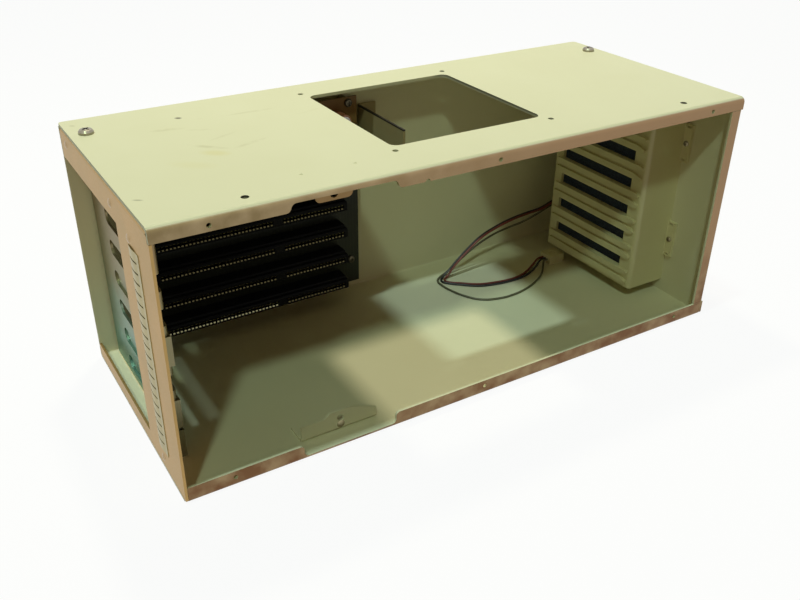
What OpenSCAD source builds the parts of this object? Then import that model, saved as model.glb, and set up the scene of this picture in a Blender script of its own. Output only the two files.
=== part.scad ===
// Industrial computer chassis: a folded sheet case, open at the front, with a card cage inside.
// Lengths are millimetres. The front opening faces -Y and +Z is up.
// Each module is drawn from the case's lower left front corner and moved to the origin by seat().

/* [Case] */
// Width of the case across its front
case_w = 390; // [380:1:430]
// Depth of the case from front to back
case_d = 165; // [162:1:190]
// Height of the case
case_h = 161; // [158:1:185]
// Thickness of the folded sheet
sheet_t = 1.5; // [1.2:0.1:1.8]
// Outer radius of every fold
bend_r = 2.5; // [2.2:0.1:3.2]
// Gap between sheets that meet at a corner
sheet_gap = 0.2; // [0.1:0.05:0.4]
// Height of the folded lip below the front opening
front_lip = 10; // [9:0.5:12]
// Width of the folded lip down the right of the opening
side_lip = 9.5; // [7:0.5:12]
// Width of the ledges that carry the cover
cover_ledge = 14; // [13:0.5:18]
// Left end of the catch notch in both front lips
notch_left = 69.8; // [60:0.1:80]
// Width of the catch notch
notch_w = 60.4; // [54:0.1:70]
// Radius of the notch's inner corners
notch_r = 3; // [1:0.5:4]
// Radius of the lips' free corners beside the notch
notch_lip_r = 2.5; // [1:0.5:3]
// Distance between the outer holes along a front lip
lip_hole_span = 333; // [300:1:350]
// Height of the lower lip's holes above the case's foot
lip_hole_w = 6; // [5.5:0.1:6.5]
// Diameter of the tapped holes in the front lips
lip_hole_d = 2.6; // [2:0.1:3]

/* [Top cover] */
// Thickness of the cover's sheet
cover_t = 2; // [1.5:0.1:2.2]
// Outer radius of the cover's front fold
cover_bend_r = 3.5; // [3:0.1:3.6]
// Height of the cover's front lip
cover_lip = 8; // [7.5:0.5:10]
// Distance of the cover lip's holes below the cover's face
cover_hole_drop = 4.9; // [4.9:0.1:5.5]
// Place of the small nick in the cover lip's lower edge, from the left side
nick_u = 148; // [140:1:160]
// Diameter of the nick
nick_d = 3; // [2:0.5:4]
// Centre of the cut-out from the left side
cutout_u = 199.5; // [180:0.5:220]
// Centre of the cut-out from the front
cutout_v = 87.2; // [80:0.1:90]
// Width and depth of the square cut-out
cutout_side = 104; // [90:0.5:106]
// Corner radius of the cut-out
cutout_r = 5; // [2:0.5:8]
// Distance between the cut-out's holes, side to side
module_hole_w = 108; // [104:0.5:116]
// Distance between the cut-out's holes, front to back
module_hole_d = 116.5; // [112:0.5:120]
// Diameter of the holes round the cut-out
module_hole_bore = 3.5; // [3:0.1:4.5]
// Distance between the two holes near the front edge
bezel_hole_span = 294.8; // [280:0.1:310]
// Middle of the two front holes from the left side
bezel_hole_mid = 198.7; // [190:0.1:205]
// Distance of the two front holes from the front
bezel_hole_v = 11.3; // [9:0.1:14]
// Diameter of the two front holes
bezel_hole_d = 4.2; // [3:0.1:5]
// Distance of the cover screws from the sides
cover_screw_u = 9.5; // [8.5:0.5:10.5]
// Distance of the cover screws from the front
cover_screw_v = 138; // [120:1:142]
// Thread diameter of the cover screws
cover_screw_d = 4; // [3:0.5:4]
// Head diameter of the cover screws
cover_head_d = 8.6; // [7:0.1:9]
// Head height of the cover screws
cover_head_h = 2.8; // [2:0.1:3.5]

/* [Left side] */
// Width of the outer band behind the front edge
band_front = 57; // [54:1:60]
// Height of the outer band below the cover
band_top = 20; // [16:0.5:24]
// Height of the outer band above the floor
band_low = 10.5; // [8:0.5:12]
// Depth of the slot panel behind the outer bands
recess = 11; // [8:0.5:12]
// Distance of the bracket ledge from the front
ledge_v = 35; // [32:0.5:40]
// Height of a card slot
slot_h = 10; // [8:0.5:12]
// Distance of the slots' back ends from the front
slot_end = 133; // [125:0.5:136]
// Height of a slot's middle below its card
slot_drop = 7; // [5:0.25:8]
// Distance of the bracket screws from the left side
bracket_u = 4.6; // [4.5:0.1:5]
// Diameter of the tapped holes in the bracket ledge
ledge_hole_d = 3; // [2.5:0.1:3.5]
// Card slots that are closed by a blank, counted from the floor
blanked = [1, 2, 4]; // [1:1:6]

/* [Slot blanks] */
// Width of a slot blank
blank_w = 18.4; // [16:0.1:19]
// Thickness of a slot blank
blank_t = 0.9; // [0.8:0.05:1.2]
// Width of the tongue at a blank's back end
tongue_w = 7; // [5:0.5:8]
// Length of the tongue
tongue_l = 9; // [6:0.5:12]

/* [Finger strip] */
// Length of one contact finger along the strip
finger_pitch = 6.1; // [5:0.1:6.3]
// Number of contact fingers
finger_count = 20; // [10:1:20]
// Slit between two fingers
finger_slit = 0.9; // [0.6:0.1:1.2]
// Height of the fingers above the outer band
finger_proud = 0.8; // [0.6:0.05:1]
// Thickness of the strip's metal
finger_t = 0.35; // [0.25:0.05:0.5]
// Distance of the strip's spine from the front
strip_v = 22; // [20:0.5:23]
// Width of the spine
spine_w = 4; // [3:0.5:5]
// Reach of the fingers behind the spine
finger_l = 11; // [8:0.5:12]
// Height of the strip's lower end
strip_low = 16; // [15:0.5:17]
// Head diameter of the rivets
rivet_d = 5; // [4:0.1:6]
// Shank diameter of the rivets
rivet_shank = 3; // [2.5:0.1:3.5]

/* [Card cage] */
// Distance between two cards
card_pitch = 20.32; // [19.8:0.01:20.4]
// Number of cards
card_count = 6; // [5:1:6]
// Height of the lowest card
card_low = 19.2; // [18:0.1:20.5]
// Thickness of a card
card_t = 1.6; // [1.4:0.1:1.8]

/* [Backplane] */
// Length of the spacers behind the backplane
spacer_l = 9; // [6:0.5:10]
// Diameter of the spacers
spacer_d = 6; // [5:0.1:7]
// Thickness of the backplane
board_t = 1.6; // [1.4:0.1:2.4]
// Left edge of the backplane from the left side
board_left = 28; // [26:0.5:30]
// Width of the backplane
board_w = 162; // [158:0.5:164]
// Lower edge of the backplane above the case's foot
board_low = 11.5; // [10:0.5:12]
// Gap from the backplane's upper edge to the cover's face
board_top_gap = 9.5; // [8:0.5:14]
// Inset of the backplane's screws from its left and upper edges
board_screw_inset = 4; // [3.8:0.1:4.2]
// Inset of the backplane's screws from its right edge
board_screw_right = 6.5; // [5:0.1:7]
// Height of the lowest screws above the backplane's lower edge
board_screw_rise = 18.5; // [17.5:0.1:19.5]
// Thread diameter of the backplane's screws
board_screw_d = 3; // [2.5:0.1:3]
// Distance between two contacts of a card connector
contact_pitch = 2.54; // [2.5:0.01:2.56]
// Contacts in one row of the main section
main_ways = 31; // [28:1:31]
// Contacts in one row of the tail section
tail_ways = 18; // [16:1:18]
// Distance from the last main contact to the first tail one
key_gap = 9.5; // [8:0.1:10]
// Plastic past the last contact at each end
connector_end = 4; // [3:0.1:5]
// Left end of the connectors from the left side
connector_left = 36.5; // [36:0.5:38]
// Thickness of a connector across its card
connector_t = 9; // [8:0.1:10]
// Height of a connector in front of the backplane
connector_h = 15; // [12:0.5:16]
// Depth of the slot that takes the card's edge
connector_slot = 9; // [6:0.5:11]
// Diameter of the two capacitors
capacitor_d = 10; // [8:0.5:11]
// Height of the two capacitors
capacitor_h = 12; // [9:0.5:16]
// Poles of the supply header
header_poles = 8; // [6:1:8]
// Distance between two poles of the header
header_pitch = 5.08; // [4.8:0.01:5.1]

/* [Card guide] */
// Distance from the right wall to the guide's face
guide_reach = 33.5; // [31:0.5:36]
// Wall thickness of the guide
guide_t = 2.5; // [2:0.1:3]
// Front of the guide from the case's front
guide_front = 40; // [38:0.5:42]
// Back of the guide from the case's front
guide_back = 134; // [132:0.5:136]
// Lower edge of the guide above the case's foot
guide_low = 10.5; // [8:0.5:11]
// Gap from the guide's upper edge to the cover's face
guide_top_gap = 15; // [13:0.5:17]
// Height of the pair of ribs that holds one card
rail_h = 11; // [9:0.25:12]
// Reach of the ribs from the guide's face
rail_reach = 2.2; // [1.8:0.1:3]
// Side clearance of a card in its groove
groove_gap = 0.3; // [0.2:0.05:0.5]
// Front end of the air openings from the case's front
vent_front = 52.5; // [52:0.5:60]
// Back end of the air openings from the case's front
vent_back = 124.5; // [122:0.5:127]
// Width of a foot on the right wall
foot_w = 6.5; // [6:0.5:8]
// Height of a foot on the right wall
foot_h = 27; // [20:1:30]
// Middle of the lower foot above the case's foot
foot_low = 45.4; // [40:0.1:50]
// Middle of the upper foot above the case's foot
foot_high = 119; // [105:0.5:120]
// Thread diameter of the guide's screws
guide_screw_d = 2.2; // [2:0.1:2.6]

/* [Fan] */
// Side of the square fan frame
fan_side = 80; // [80:0.5:84]
// Depth of the fan
fan_depth = 25; // [24:0.5:25]
// Middle of the fan above the case's foot
fan_w = 78; // [72:0.5:84]
// Distance between the fan's screws
fan_hole_span = 71.5; // [71:0.1:72]
// Diameter of the fan's screw holes
fan_hole_d = 4.3; // [4:0.1:4.5]
// Inner diameter of the fan's duct
duct_d = 76; // [74:0.2:76.6]
// Wall of the duct
duct_t = 1.6; // [1.2:0.1:1.8]
// Thickness of the frame's two flanges
fan_flange = 4; // [3:0.5:5]
// Diameter of the motor's base
motor_d = 36; // [32:0.5:38]
// Thickness of the motor's base and its arms
motor_t = 3; // [2:0.5:4]
// Outer diameter of the rotor's cup
cup_d = 34; // [32:0.5:35]
// Wall of the rotor's cup
cup_t = 1.6; // [1.2:0.1:2]
// Running gap at the rotor's tips and ends
running_gap = 0.8; // [0.6:0.1:1.2]
// Number of blades
blade_count = 7; // [5:1:9]
// Thickness of a blade
blade_t = 1.4; // [1:0.1:1.8]
// Slant of the blades to the shaft
blade_slant = 48; // [40:1:55]
// Diameter of the shaft
shaft_d = 3; // [2.5:0.1:3.5]
// Radial clearance of the shaft in its bearing
shaft_gap = 0.05; // [0.02:0.01:0.1]
// Outer diameter of the bearing tube
bearing_d = 8; // [7:0.5:9]
// Width of the ring slots in the right wall
grille_slot = 4; // [3:0.25:4.5]
// Width of the bridges between the ring slots
grille_bridge = 4; // [3:0.5:5]

/* [Catch brackets] */
// Left end of the lower catch bracket from the left side
catch_left = 74; // [72:0.5:76]
// Length of the lower catch bracket
catch_l = 49.5; // [46:0.5:52]
// Distance of both catch brackets from the front
catch_v = 12.5; // [11:0.5:14]
// Height of the lower bracket left of its lug
catch_h = 11; // [9:0.5:12]
// Height of the lower bracket at its right end
catch_end_h = 7.5; // [6:0.5:9]
// Height of the raised lug
lug_h = 14; // [13:0.1:14.4]
// Left end of the raised lug from the bracket's left end
lug_left = 19; // [15:0.5:20]
// Width of the raised lug along its top
lug_w = 13; // [12:0.5:16]
// Run of the short shoulder left of the lug
lug_slope = 4; // [3:0.5:6]
// Depth of the brackets' feet
catch_foot = 15; // [14:0.5:18]
// Diameter of the hole in the lug and in the upper bracket's tab
catch_hole_d = 4.6; // [4:0.1:5]
// Width of the upper bracket's tab
tab_w = 21.5; // [18:0.5:24]
// Drop of the tab below the cover
tab_drop = 10.5; // [9:0.5:12]
// Radius of the tab's lower corners
tab_r = 3; // [1:0.5:4]
// Distance between the two weld marks of the upper bracket
weld_span = 31; // [26:0.5:34]

/* [Inner bracket] */
// Gap between the backplane and the inner bracket
inner_gap = 5.5; // [4:0.5:8]
// Reach of the inner bracket from the back wall
inner_reach = 62; // [50:1:66]
// Drop of the inner bracket below the cover's face
inner_drop = 19; // [15:0.5:23]
// Height of the inner bracket
inner_h = 38; // [32:1:38]
// Width of its foot on the back wall
inner_foot = 13; // [12:0.5:16]
// Thread diameter of its screws
inner_screw_d = 3; // [2.5:0.1:4]

/* [Fan leads] */
// Diameter of one lead
lead_d = 1.6; // [1.2:0.1:1.7]
// Length of the connector shell on the leads
shell_l = 14; // [12:0.5:14]
// Width of the connector shell
shell_w = 12; // [10:0.5:12]
// Height of the connector shell
shell_h = 7; // [6:0.5:7.5]

/* [Hidden] */
$fn = 48;

paint = "#d9d8bd";
bare_metal = "#c9b19b";
zinc = "#b9b8b2";
black_plastic = "#1d1d1c";
board_green = "#2c3526";
nylon = "#d8cfae";
can_brown = "#7d6a5e";
copper = "#8a5a33";

// Radii and small fits
hole_slack = 0.3;
screw_slack = 0.1;
cut = 1;

// Inner faces of the case
wall_u = case_w - sheet_t;
wall_v = case_d - sheet_t;
ledge_w = case_h - cover_t;
floor_w = sheet_t;

// The finger strip stands proud of the left side, so the footprint's middle lies a little to the left
origin_u = (case_w - finger_proud) / 2;
origin_v = case_d / 2;

// The side walls end below and behind the cover's front lip
lip_under = case_h - cover_lip - sheet_gap;
lip_back = cover_t + sheet_gap;

// The side walls' cover ledges run from behind the cover's front fold to the back wall
side_ledge = cover_ledge + sheet_gap;
side_ledge_start = cover_bend_r + sheet_gap;
side_ledge_end = wall_v - sheet_gap;

// Cover screws
cover_screw_places = [for (u = [cover_screw_u, case_w - cover_screw_u]) [u, cover_screw_v]];

// Card positions
function card_w(i) = card_low + (i - 1) * card_pitch;
function slot_w(i) = card_w(i) - slot_drop;

// Front lip holes, measured from the left
lip_holes = [for (k = [-1:1]) case_w / 2 + k * lip_hole_span / 2];

// Backplane
board_back = wall_v - spacer_l;
board_front = board_back - board_t;
board_right = board_left + board_w;
board_top = case_h - board_top_gap;
connector_front = board_front - connector_h;
main_l = (main_ways - 1) * contact_pitch;
tail_l = (tail_ways - 1) * contact_pitch;
connector_l = 2 * connector_end + main_l + key_gap + tail_l;
main_first = connector_left + connector_end;
tail_first = main_first + main_l + key_gap;
screw_row_low = board_low + board_screw_rise;
screw_row_high = board_top - board_screw_inset;
board_screws = [for (u = [board_left + board_screw_inset, board_right - board_screw_right],
    w = [screw_row_low, (screw_row_low + screw_row_high) / 2, screw_row_high]) [u, w]];
spacer_floor = 2;
connector_chamfer = connector_t / 9;
connector_lip = connector_h * 0.27;
card_entry = card_t * 0.44;

// Parts in the board's free strip above the top connector: inset from the right, share of the free height
supply_low = card_w(card_count) + connector_t / 2;
supply_h = board_top - supply_low;
header_place = [34, 0.78];
header_depth = 11;
header_h = 8;
header_wall = 1.2;
header_floor = 2;
pin_t = 1.2;
capacitor_places = [[15, 0.506], [27, 0.444]];

// Card guide and fan, both on the right wall
guide_u = wall_u - guide_reach;
guide_high = case_h - guide_top_gap;
guide_mid = (guide_front + guide_back) / 2;
groove = card_t + 2 * groove_gap;
guide_corner_r = 3;
rail_flare = 2;
rail_flare_l = 8;
rail_back_inset = 5;
lead_window_side = 4;
lead_window_rise = 15;
foot_w_list = [foot_low, foot_high];
foot_v = guide_front - foot_w / 2;
foot_pit = [1.5, 3.4, 1.4];
foot_pit_inset = 1.6;
fan_u = wall_u - fan_depth;
fan_v = guide_mid;
fan_corners = [for (a = [-1, 1], b = [-1, 1])
    [fan_v + a * fan_hole_span / 2, fan_w + b * fan_hole_span / 2]];
blade_r = duct_d / 2 - running_gap;
cup_u = fan_u + 2 * running_gap;
cup_end = wall_u - motor_t - running_gap;
bearing_start = cup_u + cup_t + running_gap;
blade_inset = 1.2;
camber_r = 26;
shaft_end_gap = 0.5;
fan_corner_r = 4;
retainer_low = 2;
retainer_h = 12;
grille_angles = [45, 135];

// Rivets on the left side, each at its distance from the nearest edges: back and top, front band and top,
// the finger strip's front and top, its front and foot
strip_top = strip_low + finger_count * finger_pitch;
rear_rivet = [13.8, 9.3];
fore_rivet = [6.8, 11.8];
high_rivet = [14.4, 3.1];
low_rivet = [11.6, 8.1];
side_rivet_places = [[case_d - rear_rivet[0], case_h - rear_rivet[1]],
    [band_front + fore_rivet[0], case_h - fore_rivet[1]],
    [strip_v + high_rivet[0], strip_top + high_rivet[1]],
    [strip_v + low_rivet[0], strip_low - low_rivet[1]]];

// Catch brackets: the lug's middle, its hole and rivet, the tab's hole and the upper bracket's weld marks
lug_u = catch_left + lug_left + lug_w / 2;
lug_hole_drop = 5.2;
catch_rivet_rise = 1.6;
catch_rivet_w = floor_w + bend_r + catch_rivet_rise;
rivet_h = 1;
rivet_slack = 0.05;
tab_hole_rise = 3.6;
weld_shift = 2.8;
weld_back = 11;
weld_u = [for (s = [-1, 1]) lug_u + weld_shift + s * weld_span / 2];
weld_v = catch_v + weld_back;
weld_edge = 5.5;
weld_d = 1.8;
weld_depth = 0.25;

// Inner bracket
inner_u = board_right + inner_gap;
inner_top = case_h - inner_drop;
inner_screw_inset = 8;
inner_screw_w = [inner_top - inner_h + inner_screw_inset, inner_top - inner_screw_inset];
inner_screw_u = inner_u + bend_r + inner_foot / 2;

// Pan-head screws: head diameter and height follow the thread
function head_d(d) = 1.9 * d;
function head_h(d) = 0.62 * d;
thread_past = 2;
driver_slot = [4, 0.8, 1.2];

// Leads: points chosen by hand, in the part's own frame, from the fan to the connector
lead_sides = 8;
shell_x = 147;
shell_y = 36;
socket_pitch = 3.6;
socket_side = 2.6;
socket_depth = 5;
latch_from = 4;
latch_size = [5, 4, 1.2];
black_route = [
    [184, 44.5, 46], [184, 48, 46], [183, 54, 45], [178, 59, 43], [170, 61, 40], [158, 61, 36.5],
    [144, 61, 35.5], [129, 60, 34.5], [112, 59, 31.5], [96, 58, 26.5], [84, 57, 19.5], [75, 56, 13.5],
    [67, 55, 7.5], [61, 54, 3.6], [57.5, 52, 2.3], [56.5, 48.5, 2.3], [58.5, 45, 2.3], [66, 38, 2.3],
    [77, 29.5, 2.3], [89, 25.5, 2.3], [102, 23.5, 2.3], [115, 24, 2.3], [126, 27.5, 2.4],
    [135, 32, 3.2], [140.5, 35, 4.6], [144, 36, 5], [147, 36, 5]];
red_route = [
    [181, 44.5, 46], [181, 48, 46], [180, 52.5, 45], [176, 56, 43], [169, 58.5, 40], [158, 59, 36.5],
    [144, 59, 35.5], [129, 58, 34.5], [112, 57, 31.5], [96, 56, 26.5], [84, 55, 19.5], [75, 54, 13.5],
    [68, 53.4, 7.5], [64.5, 53, 3.8], [60.8, 51.8, 2.4], [59.2, 48.9, 2.3], [60.4, 46, 2.3], [67.5, 40, 2.3],
    [78, 32, 2.3], [90, 28, 2.3], [102, 26, 2.3], [114, 26.5, 2.3], [124, 30, 2.4],
    [133, 34.5, 3.2], [139.5, 37.6, 4.6], [143.5, 38.6, 5], [147, 38.6, 5]];
grey_route = [
    [187, 44.5, 44], [187, 48, 44], [186, 56, 42], [180, 62.5, 38], [170, 64, 34], [158, 64, 30],
    [144, 64, 26.5], [129, 63.5, 25], [112, 62, 23], [96, 61, 18], [84, 60, 12.5], [74, 59, 7.5],
    [65, 57.5, 3.6], [58, 55.5, 2.3], [54, 51.5, 2.3], [53, 45, 2.3], [54.5, 34, 2.3], [59, 21.5, 2.3],
    [66, 12, 2.3], [78, 6.5, 2.3], [92, 5.5, 2.3], [106, 8, 2.3], [119, 13, 2.4], [131, 20.5, 3],
    [138, 27.5, 4.2], [142, 31.8, 5], [144.5, 33.4, 5], [147, 33.4, 5]];

// Moves a module from the case's corner to the origin
module seat() {
    translate([-origin_u, -origin_v, 0]) children();
}

// Draws a 2-D outline given as [depth, height] and extrudes it to the right from u
module along_u(u, length) {
    translate([u, 0, 0]) rotate([90, 0, 90]) linear_extrude(length) children();
}

// Draws a 2-D outline given as [width, height] and extrudes it to the back from v
module along_v(v, length) {
    translate([0, v + length, 0]) rotate([90, 0, 0]) linear_extrude(length) children();
}

// Draws a 2-D outline given as [width, depth] and extrudes it upwards from w
module along_w(w, length) {
    translate([0, 0, w]) linear_extrude(length) children();
}

// A round bar to the right, to the back or upwards
module bar_u(u, v, w, d, length) {
    translate([u, v, w]) rotate([0, 90, 0]) cylinder(d = d, h = length);
}

module bar_v(u, v, w, d, length) {
    translate([u, v, w]) rotate([-90, 0, 0]) cylinder(d = d, h = length);
}

module bar_w(u, v, w, d, length) {
    translate([u, v, w]) cylinder(d = d, h = length);
}

// Rectangle between two corners
module span2(low, high) {
    translate(low) square(high - low);
}

// Box between two corners
module span3(low, high) {
    translate(low) cube(high - low);
}

// Quarter ring of a fold about its centre, in the quadrant given by two signs
module fold2(centre, sx, sy, r = bend_r, t = sheet_t) {
    translate(centre) intersection() {
        difference() {
            circle(r);
            circle(r - t);
        }
        translate([sx > 0 ? 0 : -r, sy > 0 ? 0 : -r]) square(r);
    }
}

// Rectangle with round corners between two corners
module round2(low, high, r) {
    span2([low[0] + r, low[1]], [high[0] - r, high[1]]);
    span2([low[0], low[1] + r], [high[0], high[1] - r]);
    for (x = [low[0] + r, high[0] - r], y = [low[1] + r, high[1] - r]) translate([x, y]) circle(r);
}

// Notch in a lip that stands up from its root, open at the lip's edge and with round corners
module notch2(root, edge) {
    r = notch_lip_r;
    right = notch_left + notch_w;
    round2([notch_left, root], [right, 2 * edge], notch_r);
    for (s = [-1, 1]) translate([s < 0 ? notch_left : right, edge - r]) difference() {
        translate([s < 0 ? -r : 0, 0]) square([r, r + cut]);
        translate([s * r, 0]) circle(r);
    }
}

// Pan-head screw along +Z with its seat at z = 0, its head above and its shank below
module pan_screw(d, length, head = 0, height = 0) {
    hd = head > 0 ? head : head_d(d);
    hh = height > 0 ? height : head_h(d);
    difference() {
        rotate_extrude() intersection() {
            union() {
                polygon([[0, 0], [hd / 2, 0], [hd / 2, hh * 0.45], [hd * 0.4, hh * 0.85],
                    [hd * 0.22, hh], [0, hh]]);
                span2([0, -length], [d / 2, hh / 2]);
            }
            span2([0, -length - cut], [hd, hh + cut]);
        }
        for (a = [0, 90]) rotate(a) {
            translate([-hd * 0.28, -hd * 0.06, hh * 0.45]) cube([hd * 0.56, hd * 0.12, hh]);
        }
    }
}

// Floor, front lip, back wall and the ledge under the cover's back edge, folded from one sheet
module base_pan() {
    color(paint) seat() difference() {
        union() {
            along_u(0, case_w) {
                span2([bend_r, 0], [case_d - bend_r, sheet_t]);
                fold2([case_d - bend_r, bend_r], 1, -1);
                span2([wall_v, bend_r], [case_d, ledge_w - bend_r]);
            }
            along_u(side_ledge, case_w - 2 * side_ledge) {
                fold2([case_d - bend_r, ledge_w - bend_r], 1, 1);
                span2([wall_v - cover_ledge, ledge_w - sheet_t], [case_d - bend_r, ledge_w]);
            }
            for (u = [0, case_w - side_ledge]) {
                along_u(u, side_ledge) span2([wall_v, ledge_w - bend_r], [case_d, ledge_w]);
            }
            along_u(sheet_t + sheet_gap, case_w - 2 * (sheet_t + sheet_gap)) {
                fold2([bend_r, bend_r], -1, -1);
                span2([0, bend_r], [sheet_t, front_lip]);
            }
        }
        along_v(-cut, bend_r + cut) notch2(bend_r, front_lip);
        for (u = lip_holes) bar_v(u, -cut, lip_hole_w, lip_hole_d, sheet_t + 2 * cut);
    }
}

// Top sheet with its front lip, its square cut-out, its holes and the weld marks of the upper bracket
module top_cover() {
    back = case_d - bend_r;
    half = cutout_side / 2;
    under = ledge_w - cut;
    through = cover_t + 2 * cut;
    color(paint) seat() difference() {
        union() {
            along_w(ledge_w, cover_t) {
                span2([0, cover_bend_r], [case_w, back]);
                span2([bend_r, cover_bend_r], [case_w - bend_r, case_d]);
                for (u = [bend_r, case_w - bend_r]) translate([u, back]) circle(bend_r);
            }
            along_u(0, case_w) {
                span2([cover_bend_r, ledge_w], [2 * cover_bend_r, case_h]);
                fold2([cover_bend_r, case_h - cover_bend_r], -1, 1, cover_bend_r, cover_t);
                span2([0, case_h - cover_lip], [cover_t, case_h - cover_bend_r]);
            }
        }
        along_w(under, through) {
            round2([cutout_u - half, cutout_v - half], [cutout_u + half, cutout_v + half], cutout_r);
        }
        for (a = [-1, 1], b = [-1, 1]) {
            bar_w(cutout_u + a * module_hole_w / 2, cutout_v + b * module_hole_d / 2, under,
                module_hole_bore, through);
        }
        for (a = [-1, 1]) {
            bar_w(bezel_hole_mid + a * bezel_hole_span / 2, bezel_hole_v, under, bezel_hole_d, through);
        }
        for (p = cover_screw_places) bar_w(p[0], p[1], under, cover_screw_d + hole_slack, through);
        for (u = weld_u) bar_w(u, weld_v, case_h - weld_depth, weld_d, cut);
        along_v(-cut, cover_bend_r + cut) translate([0, case_h]) mirror([0, 1]) {
            notch2(cover_bend_r, cover_lip);
        }
        for (u = lip_holes) bar_v(u, -cut, case_h - cover_hole_drop, lip_hole_d, through);
        bar_v(nick_u, -cut, case_h - cover_lip, nick_d, through);
    }
}

// Cover ledge along the top of a side wall: its fold and its flat, as [width, height] from the outer face
module cover_ledge2() {
    fold2([bend_r, ledge_w - bend_r], -1, 1);
    span2([bend_r, ledge_w - sheet_t], [cover_ledge, ledge_w]);
}

// Tapped holes for the cover screws in the side walls' ledges
module cover_ledge_holes() {
    for (p = cover_screw_places) bar_w(p[0], p[1], ledge_w - sheet_t - cut, cover_screw_d, sheet_t + 2 * cut);
}

// Side wall outline as [depth, height], clear of the folds of the base and of the cover's front lip
module side_wall2(front) {
    top = ledge_w - bend_r;
    polygon([[front, floor_w], [wall_v - bend_r, floor_w], [side_ledge_end, floor_w + bend_r],
        [side_ledge_end, top], [lip_back, top], [lip_back, lip_under], [front, lip_under]]);
}

// Outer bands on the left: front, top and bottom, round the recess of the card slots
module left_side_panel() {
    color(bare_metal) seat() difference() {
        union() {
            along_u(0, sheet_t) side_wall2(0);
            along_v(side_ledge_start, side_ledge_end - side_ledge_start) cover_ledge2();
        }
        along_u(-cut, sheet_t + 2 * cut) span2([band_front, band_low], [case_d, case_h - band_top]);
        cover_ledge_holes();
        for (p = side_rivet_places) bar_u(-cut, p[0], p[1], rivet_shank, sheet_t + 2 * cut);
    }
}

// Recessed panel with the card slots, folded to the bracket ledge that joins it to the front band
module slot_panel() {
    panel_top = ledge_w - bend_r - sheet_gap;
    face = recess + sheet_t;
    fold_c = [face - bend_r, ledge_v + bend_r];
    color(bare_metal) seat() difference() {
        along_w(floor_w, panel_top - floor_w) {
            span2([sheet_t, ledge_v], [fold_c[0], ledge_v + sheet_t]);
            fold2(fold_c, 1, -1);
            span2([recess, fold_c[1]], [face, wall_v - bend_r]);
        }
        for (i = [1:card_count]) {
            span3([bracket_u + ledge_hole_d, ledge_v - cut, slot_w(i) - slot_h / 2],
                [face + cut, slot_end - slot_h / 2, slot_w(i) + slot_h / 2]);
            bar_u(recess - cut, slot_end - slot_h / 2, slot_w(i), slot_h, sheet_t + 2 * cut);
            bar_v(bracket_u, ledge_v - cut, slot_w(i), ledge_hole_d, sheet_t + 2 * cut);
        }
    }
}

// Right wall with its front lip, cover ledge, ring grille and holes
module right_side_panel() {
    lip_low = front_lip + sheet_gap;
    color(paint) seat() difference() {
        union() {
            along_u(wall_u, sheet_t) side_wall2(bend_r);
            along_u(wall_u, sheet_t) span2([0, floor_w], [bend_r, lip_low]);
            along_w(lip_low, lip_under - lip_low) {
                fold2([case_w - bend_r, bend_r], 1, -1);
                span2([case_w - side_lip, 0], [case_w - bend_r, sheet_t]);
            }
            along_v(side_ledge_start, side_ledge_end - side_ledge_start) {
                translate([case_w, 0]) mirror([1, 0]) cover_ledge2();
            }
        }
        cover_ledge_holes();
        along_u(wall_u - cut, sheet_t + 2 * cut) translate([fan_v, fan_w]) ring_grille2();
        for (p = fan_corners) {
            bar_u(wall_u - cut, p[0], p[1], fan_hole_d, sheet_t + 2 * cut);
            translate([wall_u, p[0], p[1]]) rotate([0, 90, 0]) {
                cylinder(d1 = fan_hole_d, d2 = fan_hole_d + 2 * sheet_t, h = sheet_t + 0.001);
            }
        }
        for (w = foot_w_list) {
            bar_u(wall_u - cut, foot_v, w, guide_screw_d, sheet_t + 2 * cut);
        }
    }
}

// Ring slots in front of the fan, cut by four bridges
module ring_grille2() {
    step = 2 * grille_slot;
    rings = floor((duct_d / 2 - grille_slot) / step);
    difference() {
        for (k = [1:rings]) difference() {
            circle(k * step + grille_slot / 2);
            circle(k * step - grille_slot / 2);
        }
        for (a = grille_angles) rotate(a) square([2 * duct_d, grille_bridge], center = true);
    }
}

// Catch bracket on the floor behind the notch: a folded foot and an upright with a raised lug
module lower_catch_bracket() {
    top = floor_w + catch_h;
    lug_top = floor_w + lug_h;
    root = floor_w + bend_r;
    right = catch_left + catch_l;
    a = catch_left + lug_left;
    b = a + lug_w;
    color(paint) seat() difference() {
        union() {
            along_u(catch_left, catch_l) {
                fold2([catch_v + bend_r, root], -1, -1);
                span2([catch_v + bend_r, floor_w], [catch_v + catch_foot, floor_w + sheet_t]);
            }
            along_v(catch_v, sheet_t) {
                polygon([[catch_left, root], [right, root], [right, floor_w + catch_end_h],
                    [b, lug_top], [a, lug_top], [a - lug_slope, top], [catch_left, top]]);
            }
        }
        bar_v(lug_u, catch_v - cut, lug_top - lug_hole_drop, catch_hole_d, sheet_t + 2 * cut);
        bar_v(lug_u, catch_v - cut, catch_rivet_w, rivet_shank, sheet_t + 2 * cut);
    }
}

// Catch bracket welded under the cover behind the upper notch: a foot and a tab with round corners
module upper_catch_bracket() {
    low = ledge_w - tab_drop;
    root = ledge_w - bend_r;
    left = lug_u - tab_w / 2;
    right = left + tab_w;
    foot = catch_v + bend_r;
    color(bare_metal) seat() difference() {
        union() {
            span3([weld_u[0] - weld_edge, foot, ledge_w - sheet_t],
                [weld_u[1] + weld_edge, catch_v + catch_foot, ledge_w]);
            along_u(left, tab_w) {
                fold2([foot, root], -1, 1);
                span2([foot, ledge_w - sheet_t], [foot + bend_r, ledge_w]);
            }
            along_v(catch_v, sheet_t) {
                span2([left, low + tab_r], [right, root]);
                span2([left + tab_r, low], [right - tab_r, root]);
                for (u = [left + tab_r, right - tab_r]) translate([u, low + tab_r]) circle(tab_r);
            }
        }
        bar_v(lug_u, catch_v - cut, low + tab_hole_rise, catch_hole_d, sheet_t + 2 * cut);
    }
}

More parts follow.
